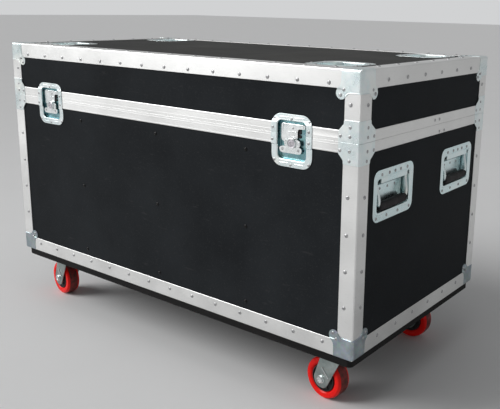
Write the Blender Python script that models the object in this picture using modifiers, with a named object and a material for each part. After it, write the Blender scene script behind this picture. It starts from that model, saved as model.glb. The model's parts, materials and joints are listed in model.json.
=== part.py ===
"""A road trunk: a black plywood case with aluminium edging, a hinged lid, recessed twist latches,
sprung side handles, dishes in the lid for stacking, and four swivel castors on a board.

Metres, +Z up. The front, with the latches, looks towards -Y, and the hinge is at the back.
X = 0 is the middle of the width, Z = 0 is the floor, and Y = 0 is the middle of the whole depth.
Left and right are those of someone who faces the front.
"""

import math

import bmesh
import bpy
from mathutils import Euler, Matrix, Vector

# Overall size of the case, over its aluminium edging
CASE_WIDTH = 1.150
CASE_DEPTH = 0.590
BODY_HEIGHT = 0.4555
LID_HEIGHT = 0.1415

# Space left between two pieces that touch
FIT = 0.0003

# Panels and edging
PLY = 0.009
EDGING_WIDTH = 0.038
EDGING_WALL = 0.002
CLOSING_HEIGHT = 0.0225
CLOSING_PROUD = 0.0005
CLOSING_WEB = 0.0045
CLOSING_INNER_WALL = 0.0015
TONGUE_WIDTH = 0.0022
TONGUE_HEIGHT = 0.002
TONGUE_CLEARANCE = 0.0004

# Divider tracks inside the front and the back
TRACK_COUNT = 3
TRACK_PITCH = 0.2845
TRACK_WIDTH = 0.020
TRACK_DEPTH = 0.010
TRACK_WALL = 0.0015
TRACK_END_GAP = 0.006

# Pressed corners and braces
PRESSING = 0.0015
CORNER_PAST_EDGING = 0.0085
CORNER_NECK = 0.013
CORNER_SLOPE = 0.004
CORNER_LOBE_RADIUS = 0.0125
CORNER_LOBE_SWEEP = 206
BRACE_PAST_EDGING = 0.012
BRACE_PAST_EDGING_SIDE = 0.017
BRACE_HEIGHT = 0.044
BRACE_ROUND = 0.028

# Latches, measured from the sides of the case and from the closing line
LATCH_FROM_SIDE = 0.165
LATCH_CAVITY_WIDTH = 0.073
LATCH_CAVITY_BELOW = 0.0535
LATCH_CAVITY_ABOVE = 0.0275
LATCH_CAVITY_ROUND = 0.010
LATCH_CAVITY_DEPTH = 0.0095
LATCH_RIM_SIDE = 0.016
LATCH_RIM_BELOW = 0.016
LATCH_RIM_ABOVE = 0.014
LATCH_FLANGE_ROUND = 0.025
LATCH_BOSS_BELOW = 0.0185
LATCH_PLATE_SIDE_GAP = 0.0075
LATCH_PLATE_END_GAP = 0.0125
LATCH_PLATE_NECK = 0.026
LATCH_PLATE_FLANK = 0.010
LATCH_PLATE_THICKNESS = 0.0016
HOOK_SIDE_GAP = 0.0085
HOOK_END_GAP = 0.001
HOOK_FOOT_WIDTH = 0.034
HOOK_FOOT_BELOW_BOSS = 0.014
HOOK_FOOT_HEIGHT = 0.009
HOOK_SHOULDER_ABOVE_BOSS = 0.004
HOOK_THICKNESS = 0.002
HOOK_ROUND = 0.005
HOOK_TRAVEL = 0.005
KEY_RADIUS = 0.0105
KEY_HEIGHT = 0.0032
KEY_STEM_RADIUS = 0.004
WING_LENGTH = 0.024
WING_WIDTH = 0.015
WING_THICKNESS = 0.0012
KEEPER_WIDTH = 0.030
KEEPER_HEIGHT = 0.008

# Side handles, measured from the front and back of the case and down from the closing line
HANDLE_FROM_END = 0.143
HANDLE_BELOW_LINE = 0.1195
HANDLE_CAVITY_WIDTH = 0.135
HANDLE_CAVITY_HEIGHT = 0.070
HANDLE_CAVITY_ROUND = 0.007
HANDLE_CAVITY_DEPTH = 0.022
HANDLE_RIM_SIDE = 0.0155
HANDLE_RIM_END = 0.020
HANDLE_FLANGE_ROUND = 0.019
BAIL_RADIUS = 0.0035
BAIL_SIDE_GAP = 0.003
BAIL_BEND = 0.006
BAIL_PIVOT_RADIUS = 0.003
BAIL_PIVOT_BELOW_TOP = 0.007
BAIL_PIVOT_IN = 0.007
GRIP_ARM_OVERLAP = 0.0005
GRIP_HEIGHT = 0.024
GRIP_DEPTH = 0.018
GRIP_ROUND = 0.005
GRIP_ABOVE_BOTTOM = 0.012

# Castor dishes in the lid, measured from the sides and from the front and back
CUP_FROM_SIDE = 0.120
CUP_FROM_END = 0.105
CUP_RIM = 0.014
CUP_FLANGE_ROUND = 0.030
CUP_CAVITY = 0.096
CUP_CAVITY_ROUND = 0.026
CUP_DEPTH = 0.016

# Sheet metal of all dishes
DISH_WALL = 0.0012
DISH_FLANGE = 0.0015

# Castors and their board
CASTOR_HEIGHT = 0.140
CASTOR_FROM_SIDE = 0.085
CASTOR_FROM_FRONT = 0.090
BOARD_THICKNESS = 0.018
BOARD_INSET = 0.006
BOARD_ROUND = 0.012
MOUNT_PLATE_LENGTH = 0.100
MOUNT_PLATE_WIDTH = 0.085
MOUNT_PLATE_THICKNESS = 0.003
RACE_RADIUS = 0.028
RACE_HEIGHT = 0.009
KINGPIN_RADIUS = 0.008
WHEEL_RADIUS = 0.050
WHEEL_WIDTH = 0.038
WHEEL_TREAD_WIDTH = 0.026
WHEEL_SHOULDER = 0.004
WHEEL_RIM_RADIUS = 0.034
WHEEL_WEB_INSET = 0.004
HUB_RADIUS = 0.014
HUB_CLEARANCE = 0.0003
TRAIL = 0.036
FORK_WALL = 0.003
FORK_SIDE_GAP = 0.003
FORK_CROWN_BACK = 0.026
FORK_CROWN_FRONT = 0.032
FORK_FOOT_RADIUS = 0.021
CROWN_INSET = 0.0003
AXLE_RADIUS = 0.006
AXLE_HEAD_RADIUS = 0.0095
AXLE_HEAD_HEIGHT = 0.006
WHEEL_SIDES = 24
# Which way each castor trails at rest, in degrees from +X
CASTOR_HEADINGS = {
    "front_left": 171,
    "front_right": 174,
    "back_left": 176,
    "back_right": 180,
}

# Rear hinge
HINGE_FROM_SIDE = 0.095
HINGE_KNUCKLES = 7
HINGE_KNUCKLE_RADIUS = 0.0045
HINGE_PIN_RADIUS = 0.002
HINGE_LEAF_HEIGHT = 0.020
HINGE_LEAF_THICKNESS = 0.0015
HINGE_LEAF_CLEARANCE = 0.0007

# Lid stays, one inside each end
STAY_FROM_HINGE = 0.243
STAY_ARM = 0.206
STAY_PIVOT_OFF_LINE = 0.014
STAY_WIDTH = 0.014
STAY_THICKNESS = 0.002
STAY_STUD_RADIUS = 0.003

# Levels above the floor
BOARD_LOW = CASTOR_HEIGHT + FIT
CASE_LOW = BOARD_LOW + BOARD_THICKNESS + PRESSING + 2 * FIT
CLOSING_LINE = CASE_LOW + BODY_HEIGHT
CASE_TOP = CLOSING_LINE + LID_HEIGHT

# Places and reaches that follow from the sizes above
LATCH_X = CASE_WIDTH / 2 - LATCH_FROM_SIDE
HANDLE_Y = CASE_DEPTH / 2 - HANDLE_FROM_END
CUP_X = CASE_WIDTH / 2 - CUP_FROM_SIDE
CUP_Y = CASE_DEPTH / 2 - CUP_FROM_END
CORNER_REACH = EDGING_WIDTH + CORNER_PAST_EDGING
FORK_GAP = WHEEL_WIDTH + 2 * FORK_SIDE_GAP
HINGE_LENGTH = CASE_WIDTH - 2 * HINGE_FROM_SIDE
HINGE_TAB = HINGE_KNUCKLE_RADIUS + HINGE_LEAF_CLEARANCE

# Depths below a face of the edging
PANEL_OUT = -(EDGING_WALL + FIT)
PANEL_IN = PANEL_OUT - PLY
CLOSING_IN = PANEL_IN - FIT - CLOSING_INNER_WALL
GROOVE_MIDDLE = PANEL_OUT - PLY / 2
SKIN_LOW = CLOSING_PROUD + FIT
SKIN_TOP = SKIN_LOW + PRESSING

# The hinge stands behind the case, so the case sits forward of the middle of the whole depth
HINGE_OUT = SKIN_LOW + HINGE_KNUCKLE_RADIUS
HINGE_Y = CASE_DEPTH / 2 + HINGE_OUT
CASE_Y = (SKIN_TOP - HINGE_OUT - HINGE_KNUCKLE_RADIUS) / 2

# Each face: turn about X, Y and Z in degrees, and its middle. There u runs to the right of someone
# who looks at the face, v up, and w out of it. On side faces v is the height above the floor.
FACES = {
    "front": ((90, 0, 0), (0, -CASE_DEPTH / 2, 0)),
    "right": ((90, 0, 90), (CASE_WIDTH / 2, 0, 0)),
    "back": ((90, 0, 180), (0, CASE_DEPTH / 2, 0)),
    "left": ((90, 0, -90), (-CASE_WIDTH / 2, 0, 0)),
    "top": ((0, 0, 0), (0, 0, CASE_TOP)),
    "bottom": ((180, 0, 0), (0, 0, CASE_LOW)),
}

ALUMINIUM = ("aluminium", (0.82, 0.83, 0.84), 0.35, 1.0)
ZINC = ("zinc", (0.70, 0.76, 0.77), 0.30, 1.0)
LAMINATE = ("black_laminate", (0.028, 0.030, 0.032), 0.55, 0.0)
BOARD_PAINT = ("board_paint", (0.020, 0.020, 0.021), 0.70, 0.0)
STEEL = ("steel", (0.62, 0.64, 0.65), 0.30, 1.0)
GRIP_RUBBER = ("grip_rubber", (0.025, 0.025, 0.026), 0.65, 0.0)
RED = ("red_polyurethane", (0.75, 0.02, 0.02), 0.35, 0.0)


# Scene, materials and places


def clear_scene():
    for obj in list(bpy.data.objects):
        bpy.data.objects.remove(obj, do_unlink=True)


def new_collection(name):
    collection = bpy.data.collections.new(name)
    bpy.context.scene.collection.children.link(collection)
    return collection


def material(name, colour, roughness, metallic):
    found = bpy.data.materials.get(name)
    if found:
        return found
    made = bpy.data.materials.new(name)
    made.use_nodes = True
    shader = made.node_tree.nodes["Principled BSDF"]
    shader.inputs["Base Color"].default_value = (*colour, 1.0)
    shader.inputs["Roughness"].default_value = roughness
    shader.inputs["Metallic"].default_value = metallic
    return made


def at(x=0.0, y=0.0, z=0.0, turn=(0, 0, 0)):
    """A place in the case's own frame: X = Y = 0 in the middle of the case."""
    return Matrix.Translation((x, y, z)) @ Euler([math.radians(a) for a in turn]).to_matrix().to_4x4()


def on_face(face, u=0.0, v=0.0, w=0.0):
    turn, middle = FACES[face]
    return at(*middle, turn) @ Matrix.Translation((u, v, w))


def moving_frame(name, place, parent=None):
    """An empty on a joint's axis, which carries what moves."""
    empty = bpy.data.objects.new(name, None)
    PARTS.objects.link(empty)
    empty["place"] = [value for row in place for value in row]
    hang(empty, place, parent)
    return empty


def frame_place(frame):
    values = list(frame["place"])
    return Matrix([values[row * 4 : row * 4 + 4] for row in range(4)])


def hang(obj, place, frame):
    """Put an object at a place, carried by a frame."""
    if frame is None:
        obj.matrix_basis = place
        return
    obj.parent = frame
    obj.matrix_basis = frame_place(frame).inverted() @ place


# Outlines, as lists of points


def arc(u, v, radius, start, end, steps):
    angles = [math.radians(start + (end - start) * step / steps) for step in range(steps + 1)]
    return [(u + radius * math.cos(a), v + radius * math.sin(a)) for a in angles]


def rectangle(width, height, u=0.0, v=0.0):
    half_u = width / 2
    half_v = height / 2
    return [(u - half_u, v - half_v), (u + half_u, v - half_v), (u + half_u, v + half_v), (u - half_u, v + half_v)]


def rounded_rectangle(width, height, radius, u=0.0, v=0.0, steps=3):
    points = []
    for side_u, side_v, start in ((1, 1, 0), (-1, 1, 90), (-1, -1, 180), (1, -1, 270)):
        middle_u = u + side_u * (width / 2 - radius)
        middle_v = v + side_v * (height / 2 - radius)
        points += arc(middle_u, middle_v, radius, start, start + 90, steps)
    return points


def half_rounded(width, reach, radius, side, start=0.0, steps=3):
    """A rectangle from v = start to v = side x reach, rounded at its far corners."""
    half = width / 2
    far = reach - radius
    points = [(-half, side * start), (half, side * start)]
    points += [(u, side * v) for u, v in arc(half - radius, far, radius, 0, 90, steps)]
    points += [(u, side * v) for u, v in arc(radius - half, far, radius, 90, 180, steps)]
    return points


def corner_outline(edge):
    """One face of a pressed corner: a square leg with a round lobe, from the case's own corner."""
    lobe = CORNER_REACH + FIT
    start = 45 - CORNER_LOBE_SWEEP / 2
    round_end = arc(lobe, lobe, CORNER_LOBE_RADIUS, start, start + CORNER_LOBE_SWEEP, 7)
    slope_u = CORNER_REACH + CORNER_SLOPE
    slope_v = round_end[0][1] - CORNER_SLOPE * 1.5
    return [
        (-edge, -edge),
        (CORNER_REACH, -edge),
        (CORNER_REACH, CORNER_NECK),
        (slope_u, slope_v),
        *round_end,
        (slope_v, slope_u),
        (CORNER_NECK, CORNER_REACH),
        (-edge, CORNER_REACH),
    ]


def brace_outline(edge, reach, side):
    """One face of a brace half, from the case's edge and the closing line, with a rounded far corner."""
    bend = arc(reach - BRACE_ROUND, BRACE_HEIGHT - BRACE_ROUND, BRACE_ROUND, 0, 90, 4)
    points = [(-edge, FIT / 2), (reach, FIT / 2), *bend, (-edge, BRACE_HEIGHT)]
    return [(u, side * v) for u, v in points]


# Solids


def finish(name, mesh, place, paint, frame):
    """Make an object of a mesh. Without paint it is a cutter or something to join."""
    obj = bpy.data.objects.new(name, mesh)
    if paint:
        PARTS.objects.link(obj)
        mesh.materials.append(material(*paint))
    else:
        TOOLS.objects.link(obj)
        obj.hide_render = True
        obj.display_type = "WIRE"
    hang(obj, place, frame)
    return obj


def block(name, size, place, paint=None, frame=None):
    mesh = bpy.data.meshes.new(name)
    shape = bmesh.new()
    bmesh.ops.create_cube(shape, size=1.0)
    bmesh.ops.scale(shape, vec=size, verts=shape.verts)
    shape.to_mesh(mesh)
    shape.free()
    return finish(name, mesh, place, paint, frame)


def rod(name, radius, length, place, paint=None, frame=None, sides=16):
    """A cylinder about its own Z, between -length / 2 and length / 2."""
    mesh = bpy.data.meshes.new(name)
    shape = bmesh.new()
    bmesh.ops.create_cone(
        shape, cap_ends=True, segments=sides, radius1=radius, radius2=radius, depth=length
    )
    shape.to_mesh(mesh)
    shape.free()
    mesh.shade_smooth()
    mesh.set_sharp_from_angle(angle=math.radians(40))
    return finish(name, mesh, place, paint, frame)


def mesh_of_curve(curve):
    """A curve made a mesh, with its loose caps welded on."""
    name = curve.name
    graph = bpy.context.evaluated_depsgraph_get()
    mesh = bpy.data.meshes.new_from_object(curve.evaluated_get(graph))
    data = curve.data
    bpy.data.objects.remove(curve, do_unlink=True)
    bpy.data.curves.remove(data)
    shape = bmesh.new()
    shape.from_mesh(mesh)
    bmesh.ops.remove_doubles(shape, verts=shape.verts, dist=0.00001)
    bmesh.ops.recalc_face_normals(shape, faces=shape.faces)
    shape.to_mesh(mesh)
    shape.free()
    mesh.materials.clear()
    mesh.name = name
    return mesh


def sheet(name, outlines, thickness, place, paint=None, frame=None):
    """A flat piece: the first outline is its edge and any others are holes. It spans w = 0 to thickness."""
    data = bpy.data.curves.new(name, "CURVE")
    data.dimensions = "2D"
    data.fill_mode = "BOTH"
    data.extrude = thickness / 2
    for points in outlines:
        spline = data.splines.new("POLY")
        spline.points.add(len(points) - 1)
        for point, (u, v) in zip(spline.points, points):
            point.co = (u, v, 0, 1)
        spline.use_cyclic_u = True
    curve = bpy.data.objects.new(name, data)
    TOOLS.objects.link(curve)
    mesh = mesh_of_curve(curve)
    mesh.transform(Matrix.Translation((0, 0, thickness / 2)))
    return finish(name, mesh, place, paint, frame)


def bent_rod(name, points, radius, place, paint=None, frame=None):
    data = bpy.data.curves.new(name, "CURVE")
    data.dimensions = "3D"
    data.bevel_depth = radius
    data.bevel_resolution = 2
    data.use_fill_caps = True
    spline = data.splines.new("POLY")
    spline.points.add(len(points) - 1)
    for point, (x, y, z) in zip(spline.points, points):
        point.co = (x, y, z, 1)
    curve = bpy.data.objects.new(name, data)
    TOOLS.objects.link(curve)
    mesh = mesh_of_curve(curve)
    mesh.shade_smooth()
    return finish(name, mesh, place, paint, frame)


def turned(name, profile, steps, place, paint=None, frame=None):
    """A closed profile of (radius, height) points turned about its own Z."""
    mesh = bpy.data.meshes.new(name)
    shape = bmesh.new()
    verts = [shape.verts.new((radius, 0, height)) for radius, height in profile]
    for first, second in zip(verts, verts[1:] + verts[:1]):
        shape.edges.new((first, second))
    shape.to_mesh(mesh)
    shape.free()
    obj = finish(name, mesh, place, paint, frame)
    screw = obj.modifiers.new("turn", "SCREW")
    screw.steps = steps
    screw.render_steps = steps
    screw.use_merge_vertices = True
    screw.merge_threshold = 0.0001
    screw.use_smooth_shade = False
    return obj


def combine(target, piece, operation):
    modifier = target.modifiers.new(piece.name, "BOOLEAN")
    modifier.operation = operation
    modifier.object = piece
    modifier.solver = "EXACT"


def join(target, *pieces):
    for piece in pieces:
        combine(target, piece, "UNION")


def cut(target, *cutters):
    for cutter in cutters:
        combine(target, cutter, "DIFFERENCE")


# The case


def edge_shell(name, low, high, open_below, paint=None, frame=None):
    """Angle edging round a box: its walls, with a window cut in each face. One end is open."""
    width = CASE_WIDTH
    depth = CASE_DEPTH
    past = 0.05
    height = high - low
    shell = block(name, (width, depth, height), at(z=(low + high) / 2), paint, frame)
    side = -1 if open_below else 1
    edge = high if open_below else low
    for label, size_x, size_y, start in (
        ("hollow", width - 2 * EDGING_WALL, depth - 2 * EDGING_WALL, EDGING_WALL),
        ("window_across", width - 2 * EDGING_WIDTH, depth + past, EDGING_WIDTH),
        ("window_along", width + past, depth - 2 * EDGING_WIDTH, EDGING_WIDTH),
    ):
        reach = height - start + past
        middle = edge + side * (start + reach / 2)
        cut(shell, block(f"{name}_{label}", (size_x, size_y, reach), at(z=middle), frame=frame))
    window = (width - 2 * EDGING_WIDTH, depth - 2 * EDGING_WIDTH, past)
    cut(shell, block(f"{name}_window_flat", window, at(z=edge), frame=frame))
    return shell


def closing_ring(name, side, paint=None, frame=None):
    """The profile round the opening: a U over the panels' edges, from the line down (-1) or up (1)."""

    def level(distance):
        return CLOSING_LINE + side * distance

    def ring(label, out, inner, start, end):
        outer_outline = rectangle(CASE_WIDTH + 2 * out, CASE_DEPTH + 2 * out)
        inner_outline = rectangle(CASE_WIDTH + 2 * inner, CASE_DEPTH + 2 * inner)
        low = min(level(start), level(end))
        return sheet(
            f"{name}_{label}" if label else name,
            [outer_outline, inner_outline],
            abs(end - start),
            at(z=low),
            None if label else paint,
            frame,
        )

    body = ring("", CLOSING_PROUD, CLOSING_IN, FIT / 2, CLOSING_HEIGHT)
    slot = ring("slot", -EDGING_WALL, PANEL_IN - FIT, CLOSING_WEB, CLOSING_HEIGHT + FIT)
    cut(body, slot)
    if side < 0:
        half = TONGUE_WIDTH / 2 + TONGUE_CLEARANCE
        depth = TONGUE_HEIGHT + TONGUE_CLEARANCE
        cut(body, ring("groove", GROOVE_MIDDLE + half, GROOVE_MIDDLE - half, -FIT, depth))
    else:
        half = TONGUE_WIDTH / 2
        inside = (CLOSING_WEB - FIT) / 2
        join(body, ring("tongue", GROOVE_MIDDLE + half, GROOVE_MIDDLE - half, -TONGUE_HEIGHT, inside))
    return body


def latch_cut(name, label, u, side, frame=None):
    """The way through the closing profile for a latch dish. The profile's inner wall stays."""
    width = LATCH_CAVITY_WIDTH + 2 * (DISH_WALL + FIT)
    deep = LATCH_CAVITY_DEPTH + DISH_WALL + FIT
    past = 0.01
    size = (width, 2 * CLOSING_HEIGHT, deep + past)
    return block(f"{name}_{label}", size, on_face("front", u, CLOSING_LINE, (past - deep) / 2), frame=frame)


def brace_halves(name, side, frame=None):
    """Four pressed angles, one over each upright, joined to the closing profile."""
    pieces = []
    past_edge = FIT + PRESSING
    for face, length, past in (
        ("front", CASE_WIDTH, BRACE_PAST_EDGING),
        ("right", CASE_DEPTH, BRACE_PAST_EDGING_SIDE),
        ("back", CASE_WIDTH, BRACE_PAST_EDGING),
        ("left", CASE_DEPTH, BRACE_PAST_EDGING_SIDE),
    ):
        for end in (-1, 1):
            outline = [(-end * u, v) for u, v in brace_outline(past_edge, EDGING_WIDTH + past, side)]
            place = on_face(face, end * length / 2, CLOSING_LINE, FIT)
            label = f"{name}_brace_{face}_{'left' if end < 0 else 'right'}"
            pieces.append(sheet(label, [outline], PRESSING, place, frame=frame))
    return pieces


def tracks(panel, face, low, high):
    """Channels for dividers, joined to the inside of a panel."""
    for index in range(TRACK_COUNT):
        u = (index - (TRACK_COUNT - 1) / 2) * TRACK_PITCH
        middle = (low + high) / 2
        length = high - low - 2 * TRACK_END_GAP
        sunk = PLY / 3
        size = (TRACK_WIDTH, length, TRACK_DEPTH + sunk)
        place = on_face(face, u, middle, PANEL_IN + sunk - size[2] / 2)
        channel = block(f"{panel.name}_track_{index}", size, place)
        hollow_size = (TRACK_WIDTH - 2 * TRACK_WALL, length + 0.01, TRACK_DEPTH)
        hollow_place = on_face(face, u, middle, PANEL_IN - TRACK_WALL - TRACK_DEPTH / 2)
        cut(channel, block(f"{panel.name}_track_{index}_hollow", hollow_size, hollow_place))
        join(panel, channel)


def recess_hole(width, height):
    grow = 2 * (DISH_WALL + FIT)
    return width + grow, height + grow


def side_panel(name, face, length, low, high, paint, frame=None, holes=()):
    middle = (low + high) / 2
    outlines = [rectangle(length, high - low)]
    outlines += [rectangle(width, height, u, v - middle) for u, v, width, height in holes]
    return sheet(name, outlines, PLY, on_face(face, 0, middle, PANEL_IN), paint, frame)


def body_panels():
    base_top = CASE_LOW - PANEL_IN
    low = base_top + FIT
    high = CLOSING_LINE - CLOSING_WEB - FIT
    across = CASE_WIDTH + 2 * PANEL_OUT
    along = CASE_DEPTH + 2 * PANEL_OUT
    between = CASE_DEPTH + 2 * PANEL_IN - 2 * FIT
    sheet("base_panel", [rectangle(across, along)], PLY, on_face("bottom", 0, 0, PANEL_IN), LAMINATE)

    front = side_panel("front_panel", "front", across, low, high, LAMINATE)
    hole_width, reach = recess_hole(LATCH_CAVITY_WIDTH, LATCH_CAVITY_BELOW)
    reach = reach - DISH_WALL - FIT
    for label, u in (("left", -LATCH_X), ("right", LATCH_X)):
        size = (hole_width, 2 * reach, 4 * PLY)
        cut(front, block(f"front_panel_latch_{label}", size, on_face("front", u, CLOSING_LINE, 0)))
    back = side_panel("back_panel", "back", across, low, high, LAMINATE)
    track_high = CLOSING_LINE - CLOSING_HEIGHT
    tracks(front, "front", low, track_high)
    tracks(back, "back", low, track_high)

    hole_width, hole_height = recess_hole(HANDLE_CAVITY_WIDTH, HANDLE_CAVITY_HEIGHT)
    level = CLOSING_LINE - HANDLE_BELOW_LINE
    holes = [(u, level, hole_width, hole_height) for u in (-HANDLE_Y, HANDLE_Y)]
    for face in ("left", "right"):
        side_panel(f"{face}_panel", face, between, low, high, LAMINATE, None, holes)


def lid_panels(lid):
    low = CLOSING_LINE + CLOSING_WEB + FIT
    high = CASE_TOP + PANEL_IN - FIT
    across = CASE_WIDTH + 2 * PANEL_OUT
    along = CASE_DEPTH + 2 * PANEL_OUT
    between = CASE_DEPTH + 2 * PANEL_IN - 2 * FIT
    # Plain square holes for the dishes: their flanges cover the holes' corners
    hole, _ = recess_hole(CUP_CAVITY, CUP_CAVITY)
    holes = [rectangle(hole, hole, u, v) for u in (-CUP_X, CUP_X) for v in (-CUP_Y, CUP_Y)]
    outlines = [rectangle(across, along), *holes]
    sheet("lid_top_panel", outlines, PLY, on_face("top", 0, 0, PANEL_IN), LAMINATE, lid)

    front = side_panel("lid_front_panel", "front", across, low, high, LAMINATE, lid)
    hole_width, reach = recess_hole(LATCH_CAVITY_WIDTH, LATCH_CAVITY_ABOVE)
    reach = reach - DISH_WALL - FIT
    for label, u in (("left", -LATCH_X), ("right", LATCH_X)):
        size = (hole_width, 2 * reach, 4 * PLY)
        place = on_face("front", u, CLOSING_LINE, 0)
        cut(front, block(f"lid_front_panel_latch_{label}", size, place, frame=lid))
    side_panel("lid_back_panel", "back", across, low, high, LAMINATE, lid)
    for face in ("left", "right"):
        side_panel(f"lid_{face}_panel", face, between, low, high, LAMINATE, lid)


def stay_stud(name, end, side, frame=None):
    """A stud on the closing profile's inner wall. The lower arm turns on the body's; the lid's
    meets the upper arm's face, because the chain of arms is open there."""
    sunk = CLOSING_INNER_WALL / 2
    length = STAY_THICKNESS + FIT + sunk
    x = end * (CASE_WIDTH / 2 + CLOSING_IN + sunk - length / 2)
    place = at(x, HINGE_Y - STAY_FROM_HINGE, CLOSING_LINE + side * STAY_PIVOT_OFF_LINE, (0, 90, 0))
    return rod(name, STAY_STUD_RADIUS, length, place, frame=frame, sides=12)


def frames(lid):
    edge_shell("body_edge_frame", CASE_LOW, CLOSING_LINE - CLOSING_HEIGHT - FIT, False, ALUMINIUM)
    body = closing_ring("body_closing_frame", -1, ALUMINIUM)
    join(body, *brace_halves("body", -1))
    upper = closing_ring("lid_frame", 1, ALUMINIUM, lid)
    overlap = 0.004
    shell = edge_shell("lid_shell", CLOSING_LINE + CLOSING_HEIGHT - overlap, CASE_TOP, True, None, lid)
    join(upper, shell, *brace_halves("lid", 1, lid))
    for label, u in (("left", -LATCH_X), ("right", LATCH_X)):
        cut(body, latch_cut("body_closing", label, u, -1))
        cut(upper, latch_cut("lid_closing", label, u, 1, lid))
    for end, label in ((-1, "left"), (1, "right")):
        join(body, stay_stud(f"body_stay_stud_{label}", end, -1))
        join(upper, stay_stud(f"lid_stay_stud_{label}", end, 1, lid))


def corners(lid):
    """Eight pressed corners: three faces each, with a round lobe on every face."""
    edge = PRESSING + FIT
    for high, level, frame in ((False, CASE_LOW, None), (True, CASE_TOP, lid)):
        for end_x in (-1, 1):
            for end_y in (-1, 1):
                name = "{}_corner_{}_{}".format(
                    "top" if high else "bottom",
                    "front" if end_y < 0 else "back",
                    "left" if end_x < 0 else "right",
                )
                up = -1 if high else 1
                cap_face = "top" if high else "bottom"
                across = "front" if end_y < 0 else "back"
                along = "left" if end_x < 0 else "right"
                across_u = -end_x * end_y
                along_u = end_x * end_y
                corner = Vector((end_x * CASE_WIDTH / 2, end_y * CASE_DEPTH / 2, level))
                pieces = []
                for face, side_u, side_v in (
                    (across, -across_u, up),
                    (along, -along_u, up),
                    (cap_face, -end_x, -end_y if high else end_y),
                ):
                    turn, _ = FACES[face]
                    outline = [(side_u * u, side_v * v) for u, v in corner_outline(edge)]
                    place = at(*corner, turn) @ Matrix.Translation((0, 0, FIT))
                    paint = ZINC if not pieces else None
                    label = name if not pieces else f"{name}_{face}"
                    pieces.append(sheet(label, [outline], PRESSING, place, paint, frame))
                join(pieces[0], *pieces[1:])


# Dishes, latches and handles


def dish(name, flange, tub, cavity, depth, place, paint, frame=None):
    """A pressed dish: a flange round an open cavity of the given depth below w = 0."""
    body = sheet(name, [flange], DISH_FLANGE, place, paint, frame)
    sink = DISH_FLANGE / 2
    tub_place = place @ Matrix.Translation((0, 0, -depth - DISH_WALL))
    join(body, sheet(f"{name}_tub", [tub], depth + DISH_WALL + sink, tub_place, frame=frame))
    hollow_place = place @ Matrix.Translation((0, 0, -depth))
    cut(body, sheet(f"{name}_hollow", [cavity], depth + 2 * DISH_FLANGE, hollow_place, frame=frame))
    return body


def latch_dish(name, u, side, flange_reach, cavity_reach, frame=None):
    place = on_face("front", u, CLOSING_LINE, SKIN_LOW)
    flange_width = LATCH_CAVITY_WIDTH + 2 * LATCH_RIM_SIDE
    tub_width = LATCH_CAVITY_WIDTH + 2 * DISH_WALL
    tub_round = LATCH_CAVITY_ROUND + DISH_WALL
    return dish(
        name,
        half_rounded(flange_width, flange_reach, LATCH_FLANGE_ROUND, side, FIT / 2),
        half_rounded(tub_width, cavity_reach + DISH_WALL, tub_round, side, FIT / 2),
        half_rounded(LATCH_CAVITY_WIDTH, cavity_reach, LATCH_CAVITY_ROUND, side, -0.005),
        LATCH_CAVITY_DEPTH + SKIN_LOW,
        place,
        ZINC,
        frame,
    )


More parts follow.
